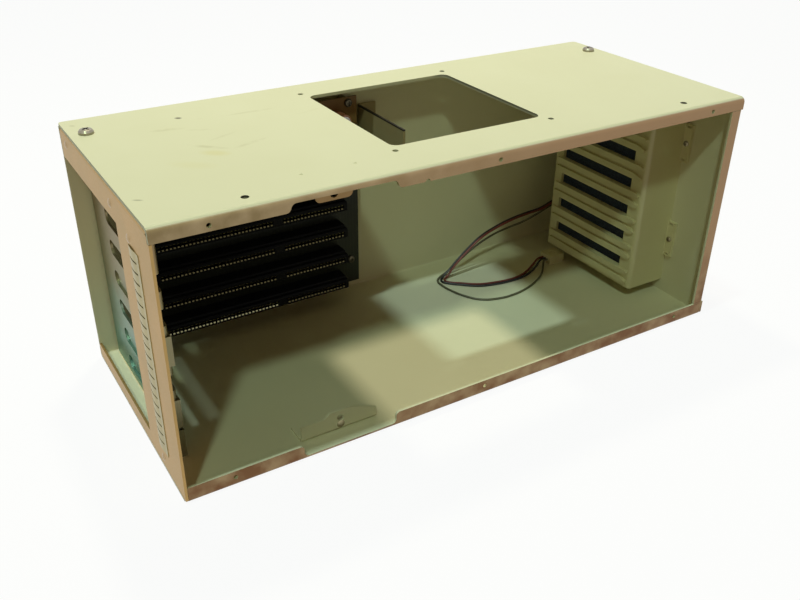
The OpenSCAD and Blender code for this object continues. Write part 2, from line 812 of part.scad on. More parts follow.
// Round-headed rivet under the lower bracket's lug hole
module catch_rivet() {
    color(zinc) seat() {
        translate([lug_u, catch_v, catch_rivet_w]) rotate([90, 0, 0]) rivet_head(rivet_d, rivet_h);
        bar_v(lug_u, catch_v, catch_rivet_w, rivet_shank - rivet_slack, sheet_t);
    }
}

// Domed rivet head on z = 0
module rivet_head(d, h) {
    r = (d * d / 4 + h * h) / (2 * h);
    rotate_extrude() intersection() {
        translate([0, h - r]) circle(r);
        square([d, h]);
    }
}

// The two back screws of the cover
module cover_screws() {
    color(zinc) seat() {
        for (p = cover_screw_places) {
            translate([p[0], p[1], case_h]) rotate(30) {
                pan_screw(cover_screw_d - screw_slack, cover_t + sheet_t, cover_head_d, cover_head_h);
            }
        }
    }
}

// Contact finger strip on the front band: a flat spine with a comb of bowed fingers behind it
module finger_strip() {
    steps = 8;
    start = strip_v + spine_w;
    bow = finger_proud - finger_t;
    outer = [for (k = [0:steps]) [-finger_t - bow * sin(180 * k / steps), start + finger_l * k / steps]];
    inner = [for (k = [steps:-1:0]) [-bow * sin(180 * k / steps), start + finger_l * k / steps]];
    color(zinc) seat() difference() {
        along_w(strip_low, strip_top - strip_low) {
            polygon(concat([[0, strip_v], [-finger_t, strip_v]], outer, inner));
        }
        for (k = [1:finger_count - 1]) {
            w = strip_low + k * finger_pitch;
            span3([-finger_proud - cut, start, w - finger_slit / 2],
                [cut, start + finger_l + cut, w + finger_slit / 2]);
        }
    }
}

// Rivets through the outer bands
module side_rivets() {
    color(zinc) seat() {
        for (p = side_rivet_places) {
            translate([0, p[0], p[1]]) rotate([0, -90, 0]) rivet_head(rivet_d, finger_proud);
            bar_u(0, p[0], p[1], rivet_shank - rivet_slack, sheet_t);
        }
    }
}

// Slot blank: a strip inside the slot panel with a tongue behind and a screwed tab over the ledge
module slot_blank(i) {
    u = recess + sheet_t;
    half = blank_w / 2;
    tongue = tongue_w / 2;
    tip = slot_end + tongue_l / 2;
    root = tip - tongue_l;
    neck = root - half + tongue;
    color(zinc) seat() translate([0, 0, slot_w(i)]) difference() {
        union() {
            along_u(u, blank_t) {
                polygon([[ledge_v - blank_t, -half], [neck, -half], [root, -tongue], [tip, -tongue],
                    [tip, tongue], [root, tongue], [neck, half], [ledge_v - blank_t, half]]);
            }
            along_v(ledge_v - blank_t, blank_t) {
                span2([sheet_t + hole_slack, -half], [u, half]);
            }
        }
        bar_v(bracket_u, ledge_v - blank_t - cut, 0, ledge_hole_d + hole_slack, blank_t + 2 * cut);
    }
}

// Screws of the slot blanks, from the front into the ledge
module blank_screws() {
    color(zinc) seat() {
        for (i = blanked) {
            translate([bracket_u, ledge_v - blank_t, slot_w(i)]) rotate([90, 0, 0]) {
                pan_screw(ledge_hole_d - screw_slack, blank_t + sheet_t + thread_past);
            }
        }
    }
}

// Printed board of the card cage
module backplane_board() {
    color(board_green) seat() difference() {
        along_v(board_front, board_t) span2([board_left, board_low], [board_right, board_top]);
        for (p = board_screws) {
            bar_v(p[0], board_front - cut, p[1], board_screw_d + hole_slack, board_t + 2 * cut);
        }
    }
}

// Threaded spacers between the back wall and the board
module backplane_spacers() {
    color(zinc) seat() {
        for (p = board_screws) {
            difference() {
                bar_v(p[0], board_back, p[1], spacer_d, spacer_l);
                bar_v(p[0], board_back - cut, p[1], board_screw_d, spacer_l - spacer_floor + cut);
            }
        }
    }
}

module backplane_screws() {
    color(zinc) seat() {
        for (p = board_screws) {
            translate([p[0], board_front, p[1]]) rotate([90, 0, 0]) {
                pan_screw(board_screw_d - screw_slack, board_t + thread_past);
            }
        }
    }
}

// Card connector: one moulding with a main and a tail card slot, chamfered at its mouth
module card_connector(i) {
    half = connector_t / 2;
    c = connector_chamfer;
    mouth = connector_front;
    step = mouth + connector_lip;
    color(black_plastic) seat() translate([0, 0, card_w(i)]) difference() {
        along_u(connector_left, connector_l) {
            polygon([[board_front, -half], [board_front, half], [step + c, half], [step, half - c],
                [mouth + c, half - c], [mouth, half - 2 * c], [mouth, 2 * c - half], [mouth + c, c - half],
                [step, c - half], [step + c, -half]]);
        }
        card_slot(main_first, main_l);
        card_slot(tail_first, tail_l);
    }
}

// Slot for a card's edge over a row of contacts
module card_slot(first, length) {
    past = contact_pitch / 2;
    half = card_t / 2 + card_entry;
    span3([first - past, connector_front - cut, -half],
        [first + length + past, connector_front + connector_slot, half]);
}

// Supply header on the board's upper edge: a nylon wall round a row of pins
module supply_header() {
    right = board_right - header_place[0];
    left = right - header_poles * header_pitch;
    low = supply_low + header_place[1] * (supply_h - header_h);
    high = low + header_h;
    mid = (low + high) / 2;
    front = board_front - header_depth;
    color(nylon) seat() {
        difference() {
            along_v(front, header_depth) span2([left, low], [right, high]);
            along_v(front - cut, header_depth - header_floor + cut) {
                span2([left + header_wall, low + header_wall], [right - header_wall, high - header_wall]);
            }
        }
        for (k = [0:header_poles - 1]) {
            u = left + (k + 0.5) * header_pitch;
            span3([u - pin_t / 2, front + header_floor, mid - pin_t / 2],
                [u + pin_t / 2, board_front - header_floor / 2, mid + pin_t / 2]);
        }
    }
}

// Upright capacitor on the board, with a groove near its foot and a bevelled end
module capacitor(place) {
    r = capacitor_d / 2;
    w = supply_low + r + place[1] * (supply_h - capacitor_d);
    groove_w = 2.4;
    groove_d = 0.5;
    bevel = 0.6;
    color(can_brown) seat() translate([board_right - place[0], board_front, w]) {
        rotate([90, 0, 0]) rotate_extrude() {
            polygon([[0, 0], [r, 0], [r, groove_w - 2 * groove_d], [r - groove_d, groove_w - groove_d],
                [r - groove_d, groove_w], [r, groove_w + groove_d], [r, capacitor_h - bevel],
                [r - bevel, capacitor_h], [0, capacitor_h]]);
        }
    }
}

// Card guide: a moulded box against the wall, with paired ribs, air openings and two feet
module card_guide() {
    window_u = guide_u + guide_t + lead_window_side;
    color(nylon) seat() difference() {
        union() {
            along_w(guide_low, guide_high - guide_low) guide_plan2();
            for (w = [guide_low, guide_high - guide_t]) along_w(w, guide_t) guide_cap2();
            for (i = [1:card_count]) {
                along_u(guide_u - rail_reach, rail_reach + guide_t / 2) {
                    translate([0, card_w(i)]) rib2();
                    translate([0, card_w(i)]) mirror([0, 1]) rib2();
                }
            }
            for (w = foot_w_list) {
                span3([wall_u - guide_t, guide_front - foot_w, w - foot_h / 2],
                    [wall_u, guide_front + guide_t, w + foot_h / 2]);
            }
        }
        for (i = [1:card_count]) {
            low = card_w(i) + rail_h / 2;
            high = min(card_w(i) + card_pitch - rail_h / 2, guide_high - guide_t);
            span3([guide_u - cut, vent_front, low], [guide_u + guide_t + cut, vent_back, high]);
        }
        for (w = foot_w_list) {
            bar_u(wall_u - guide_t - cut, foot_v, w, guide_screw_d + hole_slack, guide_t + 2 * cut);
            for (s = [-1, 1]) {
                translate([wall_u - guide_t - cut, foot_v, w + s * (foot_h / 2 - foot_pit_inset)]) {
                    translate([0, -foot_pit[1] / 2, -foot_pit[2] / 2]) {
                        cube([foot_pit[0] + cut, foot_pit[1], foot_pit[2]]);
                    }
                }
            }
        }
        span3([window_u, guide_back - guide_t - cut, guide_low + lead_window_rise],
            [wall_u + cut, guide_back + cut, fan_w]);
    }
}

// The guide's closed upper and lower ends
module guide_cap2() {
    r = guide_corner_r;
    span2([guide_u, guide_front + r], [wall_u, guide_back - r]);
    span2([guide_u + r, guide_front], [wall_u, guide_back]);
    for (v = [guide_front + r, guide_back - r]) translate([guide_u + r, v]) circle(r);
}

// The guide's plan: its face, its front and back webs and the round corners between them
module guide_plan2() {
    r = guide_corner_r;
    span2([guide_u, guide_front + r], [guide_u + guide_t, guide_back - r]);
    span2([guide_u + r, guide_front], [wall_u, guide_front + guide_t]);
    span2([guide_u + r, guide_back - guide_t], [wall_u, guide_back]);
    for (s = [-1, 1]) {
        c = s < 0 ? guide_front + r : guide_back - r;
        translate([guide_u + r, c]) intersection() {
            difference() {
                circle(r);
                circle(r - guide_t);
            }
            translate([-r, s < 0 ? -r : 0]) square(r);
        }
    }
}

// Upper rib of one card groove, its front end flared as a lead-in, as [depth, height from the card]
module rib2() {
    near = groove / 2;
    far = rail_h / 2;
    front = guide_front + guide_corner_r;
    back = guide_back - rail_back_inset;
    polygon([[front, near + rail_flare], [front + rail_flare_l, near], [back, near], [back, far],
        [front + rail_flare, far], [front, far - rail_flare / 2]]);
}

module guide_screws() {
    color(zinc) seat() {
        for (w = foot_w_list) {
            translate([wall_u - guide_t, foot_v, w]) rotate([0, -90, 0]) {
                pan_screw(guide_screw_d - screw_slack, guide_t + sheet_t - screw_slack);
            }
        }
    }
}

// Fan frame: two flanges, the duct, a retainer for the leads, four arms and the motor's base with its
// bearing tube
module fan_frame() {
    half = fan_side / 2;
    low = fan_w - half + retainer_low;
    color(black_plastic) seat() difference() {
        union() {
            for (u = [fan_u, wall_u - fan_flange]) {
                along_u(u, fan_flange) translate([fan_v, fan_w]) {
                    round2([-half, -half], [half, half], fan_corner_r);
                }
            }
            bar_u(fan_u, fan_v, fan_w, duct_d + 2 * duct_t, fan_depth);
            span3([fan_u, fan_v + half - duct_t, low], [wall_u, fan_v + half, low + retainer_h]);
        }
        difference() {
            bar_u(fan_u - cut, fan_v, fan_w, duct_d, fan_depth + 2 * cut);
            bar_u(wall_u - motor_t, fan_v, fan_w, motor_d, motor_t);
            bar_u(bearing_start, fan_v, fan_w, bearing_d, wall_u - bearing_start);
            translate([wall_u - motor_t / 2, fan_v, fan_w]) for (a = [0, 90]) rotate([a, 0, 0]) {
                cube([motor_t, motor_t, duct_d + duct_t], center = true);
            }
        }
        bar_u(bearing_start - cut, fan_v, fan_w, shaft_d + 2 * shaft_gap, cup_end - bearing_start + cut);
        for (p = fan_corners) bar_u(fan_u - cut, p[0], p[1], fan_hole_d, fan_depth + 2 * cut);
    }
}

// Wound stator ring on the bearing tube
module fan_stator() {
    start = bearing_start + cup_t;
    color(copper) seat() difference() {
        bar_u(start, fan_v, fan_w, cup_d - 2 * cup_t - 2 * running_gap, wall_u - motor_t - start);
        bar_u(start - cut, fan_v, fan_w, bearing_d + screw_slack, fan_depth);
    }
}

// Rotor: a cup over the stator, its shaft in the bearing and slanted, curved blades
module fan_rotor() {
    cup_l = cup_end - cup_u;
    color(black_plastic) seat() translate([cup_u, fan_v, fan_w]) rotate([0, 90, 0]) {
        difference() {
            cylinder(d = cup_d, h = cup_l);
            translate([0, 0, cup_t]) cylinder(d = cup_d - 2 * cup_t, h = cup_l);
        }
        cylinder(d = shaft_d, h = cup_l - shaft_end_gap);
        for (k = [0:blade_count - 1]) rotate(k * 360 / blade_count) blade(cup_l);
    }
}

// One blade: a slanted arc section carried outwards from the cup's wall and trimmed to the duct
module blade(cup_l) {
    rise = (cup_l - 2 * blade_inset) / 2;
    half_chord = rise / sin(blade_slant);
    sag = camber_r * cos(asin(half_chord / camber_r));
    translate([0, 0, cup_l / 2]) intersection() {
        rotate([90, 0, 90]) translate([0, 0, cup_d / 2 - cup_t / 2]) linear_extrude(blade_r) {
            rotate(blade_slant) intersection() {
                translate([0, -sag]) difference() {
                    circle(camber_r + blade_t / 2);
                    circle(camber_r - blade_t / 2);
                }
                span2([-half_chord, -blade_t], [half_chord, camber_r]);
            }
        }
        translate([0, 0, -cup_l / 2]) cylinder(r = blade_r, h = cup_l);
    }
}

// Countersunk screws that hold the fan to the right wall
module fan_screws() {
    d = fan_hole_d - screw_slack;
    slot = driver_slot;
    color(zinc) seat() {
        for (p = fan_corners) translate([case_w, p[0], p[1]]) rotate([0, -90, 0]) difference() {
            union() {
                cylinder(d1 = d + 2 * sheet_t, d2 = d, h = sheet_t);
                cylinder(d = d, h = sheet_t + fan_flange + thread_past);
            }
            for (a = [0, 90]) rotate(a) {
                translate([-slot[0] / 2, -slot[1] / 2, -cut]) cube([slot[0], slot[1], cut + slot[2]]);
            }
        }
    }
}

// Bracket inside the back wall, beside the backplane: an upright plate and its folded foot
module inner_bracket() {
    low = inner_top - inner_h;
    face = wall_v - inner_reach;
    c = [inner_u + bend_r, wall_v - bend_r];
    color(paint) seat() difference() {
        along_w(low, inner_h) {
            span2([inner_u, face], [inner_u + sheet_t, c[1]]);
            fold2(c, -1, 1);
            span2([c[0], wall_v - sheet_t], [inner_u + sheet_t + inner_foot, wall_v]);
        }
        for (w = inner_screw_w) {
            bar_v(inner_screw_u, wall_v - sheet_t - cut, w, inner_screw_d + hole_slack, sheet_t + 2 * cut);
        }
    }
}

// Screws of the inner bracket, seated on its foot
module inner_screws() {
    color(zinc) seat() {
        for (w = inner_screw_w) {
            translate([inner_screw_u, wall_v - sheet_t, w]) rotate([90, 0, 0]) {
                pan_screw(inner_screw_d - screw_slack, sheet_t);
            }
        }
    }
}

// Unit vector
function unit(a) = a / norm(a);

// Direction of a route at point k, from its neighbours
function heading(route, k) = unit(route[min(k + 1, len(route) - 1)] - route[max(k - 1, 0)]);

// Ring of points round point k of a route
function ring(route, k, r) =
    let (t = heading(route, k), side = unit(cross(t, [0, 0, 1])), up = cross(side, t))
    [for (i = [0:lead_sides - 1], a = i * 360 / lead_sides) route[k] + r * (cos(a) * side + sin(a) * up)];

// Tube along a route
module tube(route, d) {
    n = len(route);
    s = lead_sides;
    points = [for (k = [0:n - 1]) each ring(route, k, d / 2)];
    skin = [for (k = [0:n - 2], a = [0:s - 1], b = (a + 1) % s)
        [s * k + a, s * k + b, s * k + s + b, s * k + s + a]];
    ends = [[for (a = [s - 1:-1:0]) a], [for (a = [0:s - 1]) s * (n - 1) + a]];
    polyhedron(points = points, faces = concat(skin, ends), convexity = 10);
}

module lead_black() {
    color("#222222") tube(black_route, lead_d);
}

module lead_red() {
    color("#8c2f26") tube(red_route, lead_d);
}

module lead_grey() {
    color("#4a4a40") tube(grey_route, lead_d);
}

// Nylon connector shell on the leads' ends, lying on the floor
module lead_connector() {
    half = shell_w / 2;
    end = shell_x + shell_l;
    top = floor_w + shell_h;
    low = floor_w + (shell_h - socket_side) / 2;
    color(nylon) difference() {
        span3([shell_x, shell_y - half, floor_w], [end, shell_y + half, top]);
        for (k = [-1:1]) {
            y = shell_y + k * socket_pitch - socket_side / 2;
            span3([end - socket_depth, y, low], [end + cut, y + socket_side, low + socket_side]);
        }
        translate([shell_x + latch_from, shell_y - latch_size[1] / 2, top - latch_size[2]]) {
            cube([latch_size[0], latch_size[1], latch_size[2] + cut]);
        }
    }
}

base_pan();
top_cover();
left_side_panel();
slot_panel();
right_side_panel();
lower_catch_bracket();
upper_catch_bracket();
catch_rivet();
cover_screws();
finger_strip();
side_rivets();
for (i = [1:3]) slot_blank(blanked[i - 1]);
blank_screws();
backplane_board();
backplane_spacers();
backplane_screws();
for (i = [1:6]) card_connector(i);
supply_header();
for (i = [1:2]) capacitor(capacitor_places[i - 1]);
card_guide();
guide_screws();
fan_frame();
fan_stator();
fan_rotor();
fan_screws();
inner_bracket();
inner_screws();
lead_black();
lead_red();
lead_grey();
lead_connector();
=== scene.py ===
"""Looks of the industrial computer chassis: camera, leads, contacts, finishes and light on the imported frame."""
from math import pi, radians

import bmesh
import bpy
from mathutils import Matrix, Vector


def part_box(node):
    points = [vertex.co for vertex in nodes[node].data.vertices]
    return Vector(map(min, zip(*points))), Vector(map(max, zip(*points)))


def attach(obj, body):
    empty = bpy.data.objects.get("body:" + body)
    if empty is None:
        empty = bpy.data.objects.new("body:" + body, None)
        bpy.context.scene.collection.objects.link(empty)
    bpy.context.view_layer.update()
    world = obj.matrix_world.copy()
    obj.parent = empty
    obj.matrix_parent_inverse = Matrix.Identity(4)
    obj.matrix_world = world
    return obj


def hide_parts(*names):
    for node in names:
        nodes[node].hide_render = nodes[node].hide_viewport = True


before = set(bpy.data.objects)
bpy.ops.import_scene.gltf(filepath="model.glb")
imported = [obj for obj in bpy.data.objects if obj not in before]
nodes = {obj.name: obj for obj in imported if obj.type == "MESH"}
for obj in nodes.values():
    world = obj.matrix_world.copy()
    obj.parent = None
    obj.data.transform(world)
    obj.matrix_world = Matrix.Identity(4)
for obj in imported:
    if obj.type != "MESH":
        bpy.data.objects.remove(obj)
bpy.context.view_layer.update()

MM = 0.001

# Camera, fitted to the outer edges of the case in the photograph
EYE = Vector((-0.28409, -0.43954, 0.32958))
LOOK = Vector((0.45578728, 0.73586029, -0.50076699))
UP = Vector((0.25310607, 0.4322274, 0.86551533))
LENS_MM = 39.76
SENSOR_MM = 36.0
CLIP_NEAR = 0.01

# Leads from the fan to their connector: the source's route points in millimetres
LEAD_D = 1.6
LEAD_ROUTES = {
    "black": [
        (184, 44.5, 46), (184, 48, 46), (183, 54, 45), (178, 59, 43), (170, 61, 40), (158, 61, 36.5),
        (144, 61, 35.5), (129, 60, 34.5), (112, 59, 31.5), (96, 58, 26.5), (84, 57, 19.5), (75, 56, 13.5),
        (67, 55, 7.5), (61, 54, 3.6), (57.5, 52, 2.3), (56.5, 48.5, 2.3), (58.5, 45, 2.3), (66, 38, 2.3),
        (77, 29.5, 2.3), (89, 25.5, 2.3), (102, 23.5, 2.3), (115, 24, 2.3), (126, 27.5, 2.4),
        (135, 32, 3.2), (140.5, 35, 4.6), (144, 36, 5), (147, 36, 5)],
    "red": [
        (181, 44.5, 46), (181, 48, 46), (180, 52.5, 45), (176, 56, 43), (169, 58.5, 40), (158, 59, 36.5),
        (144, 59, 35.5), (129, 58, 34.5), (112, 57, 31.5), (96, 56, 26.5), (84, 55, 19.5), (75, 54, 13.5),
        (68, 53.4, 7.5), (64.5, 53, 3.8), (60.8, 51.8, 2.4), (59.2, 48.9, 2.3), (60.4, 46, 2.3),
        (67.5, 40, 2.3), (78, 32, 2.3), (90, 28, 2.3), (102, 26, 2.3), (114, 26.5, 2.3), (124, 30, 2.4),
        (133, 34.5, 3.2), (139.5, 37.6, 4.6), (143.5, 38.6, 5), (147, 38.6, 5)],
    "grey": [
        (187, 44.5, 44), (187, 48, 44), (186, 56, 42), (180, 62.5, 38), (170, 64, 34), (158, 64, 30),
        (144, 64, 26.5), (129, 63.5, 25), (112, 62, 23), (96, 61, 18), (84, 60, 12.5), (74, 59, 7.5),
        (65, 57.5, 3.6), (58, 55.5, 2.3), (54, 51.5, 2.3), (53, 45, 2.3), (54.5, 34, 2.3), (59, 21.5, 2.3),
        (66, 12, 2.3), (78, 6.5, 2.3), (92, 5.5, 2.3), (106, 8, 2.3), (119, 13, 2.4), (131, 20.5, 3),
        (138, 27.5, 4.2), (142, 31.8, 5), (144.5, 33.4, 5), (147, 33.4, 5)],
}
# Steps of a lead's curve, round it and from one route point to the next
LEAD_ROUNDNESS = 4
LEAD_STEPS = 6

# Card connectors: contact rows as they are spaced in the source, and one sprung contact
CARDS = range(1, 7)
CONTACT_PITCH = 2.54
CONTACT_FIRST = 4.0
MAIN_WAYS = 31
TAIL_WAYS = 18
KEY_GAP = 9.5
TAIL_START = (MAIN_WAYS - 1) * CONTACT_PITCH + KEY_GAP
CONTACT_W = 1.3
CONTACT_T = 0.2
# Depth behind the mouth and height above the card's middle, for the lower row
CONTACT_LINE = [(0.36, -0.85), (0.15, -1.38), (1.6, -1.34), (4.4, -0.95), (6.4, -1.1), (8.7, -1.38)]

# Supply header: pole spacing, and its square pins with their tapered tips, set back from the header's mouth
HEADER_PITCH = 5.08
HEADER_POLES = 8
PIN_T = 1.26
PIN_L = 7.0
PIN_TIP = 0.5
PIN_TAPER = 0.5
PIN_BACK = 2.6

# Capacitor ends: the sleeve's rim around them, and the stamped cross with its span as a share of the radius
CAPACITORS = (1, 2)
SLEEVE_RIM = 1.0
CAN_SIDES = 32
CAN_T = 0.12
CROSS_SPAN = 1.5
CROSS_W = 0.4
CROSS_T = 0.2

# Filter mat behind the card guide's air openings: lowest and highest corner in millimetres
MAT_LOW = (163.6, -39.2, 13.4)
MAT_HIGH = (165.1, 48.2, 143.1)

# Marks on the cover: its height, how far a mark reaches from it, and the share of a mark that is full
COVER_Z = 161
MARK_DEPTH = 2.5
MARK_CORE = 0.35
# Each mark: middle, half length and half width in millimetres, turn in degrees, strength
RUBS = [
    ((-144, 39), (11, 2.6), -11, 0.32), ((-135.5, 3), (17, 2.4), -42, 0.34),
    ((-112, -4), (14, 2.2), 17, 0.3), ((-90, 46), (23, 2.0), -2, 0.24),
    ((-125, 51), (7, 1.4), -34, 0.3), ((-128, 30), (9, 1.8), -25, 0.25),
    ((-120, 14), (12, 1.8), 20, 0.2), ((-60, 30), (14, 1.6), 12, 0.15)]
CHIPS = [
    ((-132, 55.7), (2.6, 1.9), -34, 1.0), ((-188.3, -49.7), (3.2, 1.0), -33, 0.5),
    ((-188.9, 72), (2.4, 0.8), -33, 0.4)]
STAINS = [((-134, -9), (10, 5), -38, 0.32), ((-150, -20), (16, 6), -38, 0.12)]
# Painted shade on upright cut edges: in the two front holes, in the holes round the cut-out, and on its right
# edge
EDGE_SHADE_MARKS = [((x, -71.2), (7, 7), 0, 1.0) for x in (-143.3, 151.5)]
EDGE_SHADE_MARKS += [((x, y), (6, 6), 0, 0.15) for x in (-49.1, 58.9) for y in (-53.5, 63)]
EDGE_SHADE_MARKS += [((56.9, 4.7), (12, 150), 0, 0.75)]

# Limits of the finishes, from not seen to full, by the height and the depth of a face's normal
EDGE_TILT = (0.5, 0.2)
LIP_TURN = (-0.4, -0.8)
# The same for places in millimetres: bare lips, recess round the slot panel, the tint by height that paints a
# reflection, board
LIP_FRONT = (-81.0, -81.4)
LIP_ALONG = (-150, 60)
LIP_HEIGHT = (20, 60)
RECESS = (("X", -183.2, -183.4), ("Y", -47, -46), ("Y", 81.7, 81.3), ("Z", 150, 149), ("Z", 0.3, 0.7))
REFLECTION_TEAL = (75, 20)
REFLECTION_TEAL_DEPTH = (-42, -28)
REFLECTION_BROWN = (85, 150)
FLOOR_TAN = (3, 2)
BOARD_MARGIN = (126, 136)
# The same for the painted shade along the inner bracket's upper edge, down from its top and forward from its back
BRACKET_EDGE_SHADE = (1.2, 0.8)
BRACKET_ARM_SHADE = (2.0, 4.0)
# How far clouds sway the tint's limits in millimetres, and how far the recess is mixed towards near white, a
# painted light
TINT_SWAY = 30
RECESS_PAINTED_LIGHT = 0.8

# Tracks of the board: their pitch, and the bands that a wave texture has in one unit at a scale of one
TRACK_PITCH = 2.54
WAVE_BANDS = 3.1831

# Lamps: place, aim and two sizes in millimetres, level on a flat floor, colour, and if it gives a highlight
LAMPS = {
    "warm_lamp": ((55, 350, 1045), (0, 0, 120), (110, 110), 0.47, "#fff8d6", True),
    "cool_lamp": ((-3725, -350, 12000), (10, 0, 120), (500, 1300), 0.31, "#defff6", True),
    "window_lamp": ((-1905, -2452, 3830), (-135, -22, 0), (320, 320), 0.15, "#deffdc", True),
    # A low fill for the right and the back, whose highlight would only be a sheen on the cover
    "fill_lamp": ((2600, 2200, 900), (100, 0, 80), (900, 900), 0.028, "#fff6e2", False),
}
# Watts with which a lamp lights a white floor one metre straight below it to a level of one: pi squared
LAMP_WATTS = 9.87
AMBIENT = 0.08

# Floor: half its width in metres, its depth below the case in millimetres, and its share of plain white
FLOOR_HALF = 6.0
FLOOR_DROP = 0.3
FLOOR_WHITE = 0.92

# Input and output places of the Mix node's colour sockets
A_COLOUR, B_COLOUR, COLOUR = 6, 7, 2


def linear(colour):
    """An sRGB hex colour as linear RGBA."""
    parts = [int(colour[k:k + 2], 16) / 255 for k in (1, 3, 5)]
    return [c / 12.92 if c <= 0.04045 else ((c + 0.055) / 1.055) ** 2.4 for c in parts] + [1.0]


def per_mm(size):
    """Texture scale at which one cell is this many millimetres across."""
    return 1.0 / (size * MM)


def add(tree, kind, inputs=None, **settings):
    """Adds a node with its settings, and fills its inputs from sockets or plain values."""
    node = tree.nodes.new(kind)
    for name, value in settings.items():
        setattr(node, name, value)
    for key, value in (inputs or {}).items():
        if isinstance(value, bpy.types.NodeSocket):
            tree.links.new(value, node.inputs[key])
        else:
            node.inputs[key].default_value = value
    return node


def start_material(name):
    """An empty node material, with its tree and the object coordinates."""
    material = bpy.data.materials.new(name)
    material.use_nodes = True
    tree = material.node_tree
    tree.nodes.clear()
    return material, tree, add(tree, "ShaderNodeTexCoord").outputs["Object"]


def close_material(tree, **inputs):
    """Ends a tree with one principled surface."""
    surface = add(tree, "ShaderNodeBsdfPrincipled", {k.replace("_", " "): v for k, v in inputs.items()})
    add(tree, "ShaderNodeOutputMaterial", {"Surface": surface.outputs["BSDF"]})


def link(thing):
    """Puts an object into the scene."""
    bpy.context.scene.collection.objects.link(thing)


def add_camera():
    """The camera where the photograph was taken from."""
    lens = bpy.data.cameras.new("photo_camera")
    lens.sensor_width = SENSOR_MM
    lens.lens = LENS_MM
    lens.clip_start = CLIP_NEAR
    camera = bpy.data.objects.new("photo_camera", lens)
    turn = Matrix((LOOK.cross(UP), UP, -LOOK)).transposed()
    camera.matrix_world = Matrix.Translation(EYE) @ turn.to_4x4()
    link(camera)
    bpy.context.scene.camera = camera


def add_piece(name, data, material):
    """Puts a finished mesh or curve into the scene, on the chassis."""
    piece = bpy.data.objects.new(name, data)
    data.materials.append(material)
    link(piece)
    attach(piece, "chassis")
    return piece


def add_mesh(name, bm, material):
    """Turns a bmesh in millimetres into a piece in metres."""
    bmesh.ops.recalc_face_normals(bm, faces=bm.faces)
    bmesh.ops.scale(bm, vec=(MM, MM, MM), verts=bm.verts)
    mesh = bpy.data.meshes.new(name)
    bm.to_mesh(mesh)
    bm.free()
    return add_piece(name, mesh, material)


def box_mm(node):
    """A node's lowest and highest corner in millimetres."""
    low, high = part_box(node)
    return low / MM, high / MM


def verts_of(geometry):
    """The vertices among what a bmesh operator made."""
    return [part for part in geometry if isinstance(part, bmesh.types.BMVert)]


def copy_all(bm, geometry):
    """The vertices of a copy of this geometry."""
    return verts_of(bmesh.ops.duplicate(bm, geom=geometry)["geom"])


def add_lead(colour, material):
    """A limp fan lead as a round curve through its route."""
    route = LEAD_ROUTES[colour]
    curve = bpy.data.curves.new(f"{colour}_fan_lead", "CURVE")
    curve.dimensions = "3D"
    curve.bevel_depth = LEAD_D / 2 * MM
    curve.bevel_resolution = LEAD_ROUNDNESS
    curve.resolution_u = LEAD_STEPS
    curve.use_fill_caps = True
    spline = curve.splines.new("BEZIER")
    spline.bezier_points.add(len(route) - 1)
    for point, place in zip(spline.bezier_points, route):
        point.co = Vector(place) * MM
        point.handle_left_type = "AUTO"
        point.handle_right_type = "AUTO"
    lead = add_piece(f"{colour}_fan_lead", curve, material)
    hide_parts(f"lead_{colour}")


def add_contacts(name, number, start, ways, material):
    """A block of sprung contacts in two rows, this far from the first contact of one card connector."""
    low, high = box_mm(f"card_connector_{number}")
    middle = (low.z + high.z) / 2
    bm = bmesh.new()
    line = [bm.verts.new((0, low.y + depth, height)) for depth, height in CONTACT_LINE]
    edges = [bm.edges.new(pair) for pair in zip(line, line[1:])]
    strip = bmesh.ops.extrude_edge_only(bm, edges=edges)["geom"]
    bmesh.ops.translate(bm, vec=(CONTACT_W, 0, 0), verts=verts_of(strip))
    bmesh.ops.recalc_face_normals(bm, faces=bm.faces)
    bmesh.ops.solidify(bm, geom=bm.faces[:], thickness=CONTACT_T)
    upper = copy_all(bm, bm.verts[:] + bm.edges[:] + bm.faces[:])
    bmesh.ops.scale(bm, vec=(1, 1, -1), verts=upper)
    first = bm.verts[:] + bm.edges[:] + bm.faces[:]
    for way in range(1, ways):
        bmesh.ops.translate(bm, vec=(way * CONTACT_PITCH, 0, 0), verts=copy_all(bm, first))
    along = low.x + CONTACT_FIRST + start - CONTACT_W / 2
    bmesh.ops.translate(bm, vec=(along, 0, middle), verts=bm.verts)
    add_mesh(name, bm, material)


def add_header_pins(material):
    """Square pins with tapered tips over the pins of the supply header."""
    low, high = box_mm("supply_header")
    bm = bmesh.new()
    for pole in range(HEADER_POLES):
        made = bmesh.ops.create_cube(bm, size=1.0)["verts"]
        bmesh.ops.scale(bm, vec=(PIN_T, PIN_L, PIN_T), verts=made)
        tip = [v for v in made if v.co.y < 0]
        front = [f for f in bm.faces if all(v in tip for v in f.verts)]
        end = verts_of(bmesh.ops.extrude_face_region(bm, geom=front)["geom"])
        bmesh.ops.delete(bm, geom=front, context="FACES_ONLY")
        bmesh.ops.translate(bm, vec=(0, -PIN_TIP, 0), verts=end)
        bmesh.ops.scale(bm, vec=(PIN_TAPER, 1, PIN_TAPER), verts=end)
        bmesh.ops.translate(bm, verts=made + end, vec=(
            low.x + (pole + 0.5) * HEADER_PITCH, low.y + PIN_BACK + PIN_L / 2, (low.z + high.z) / 2))
    add_mesh("header_pins", bm, material)


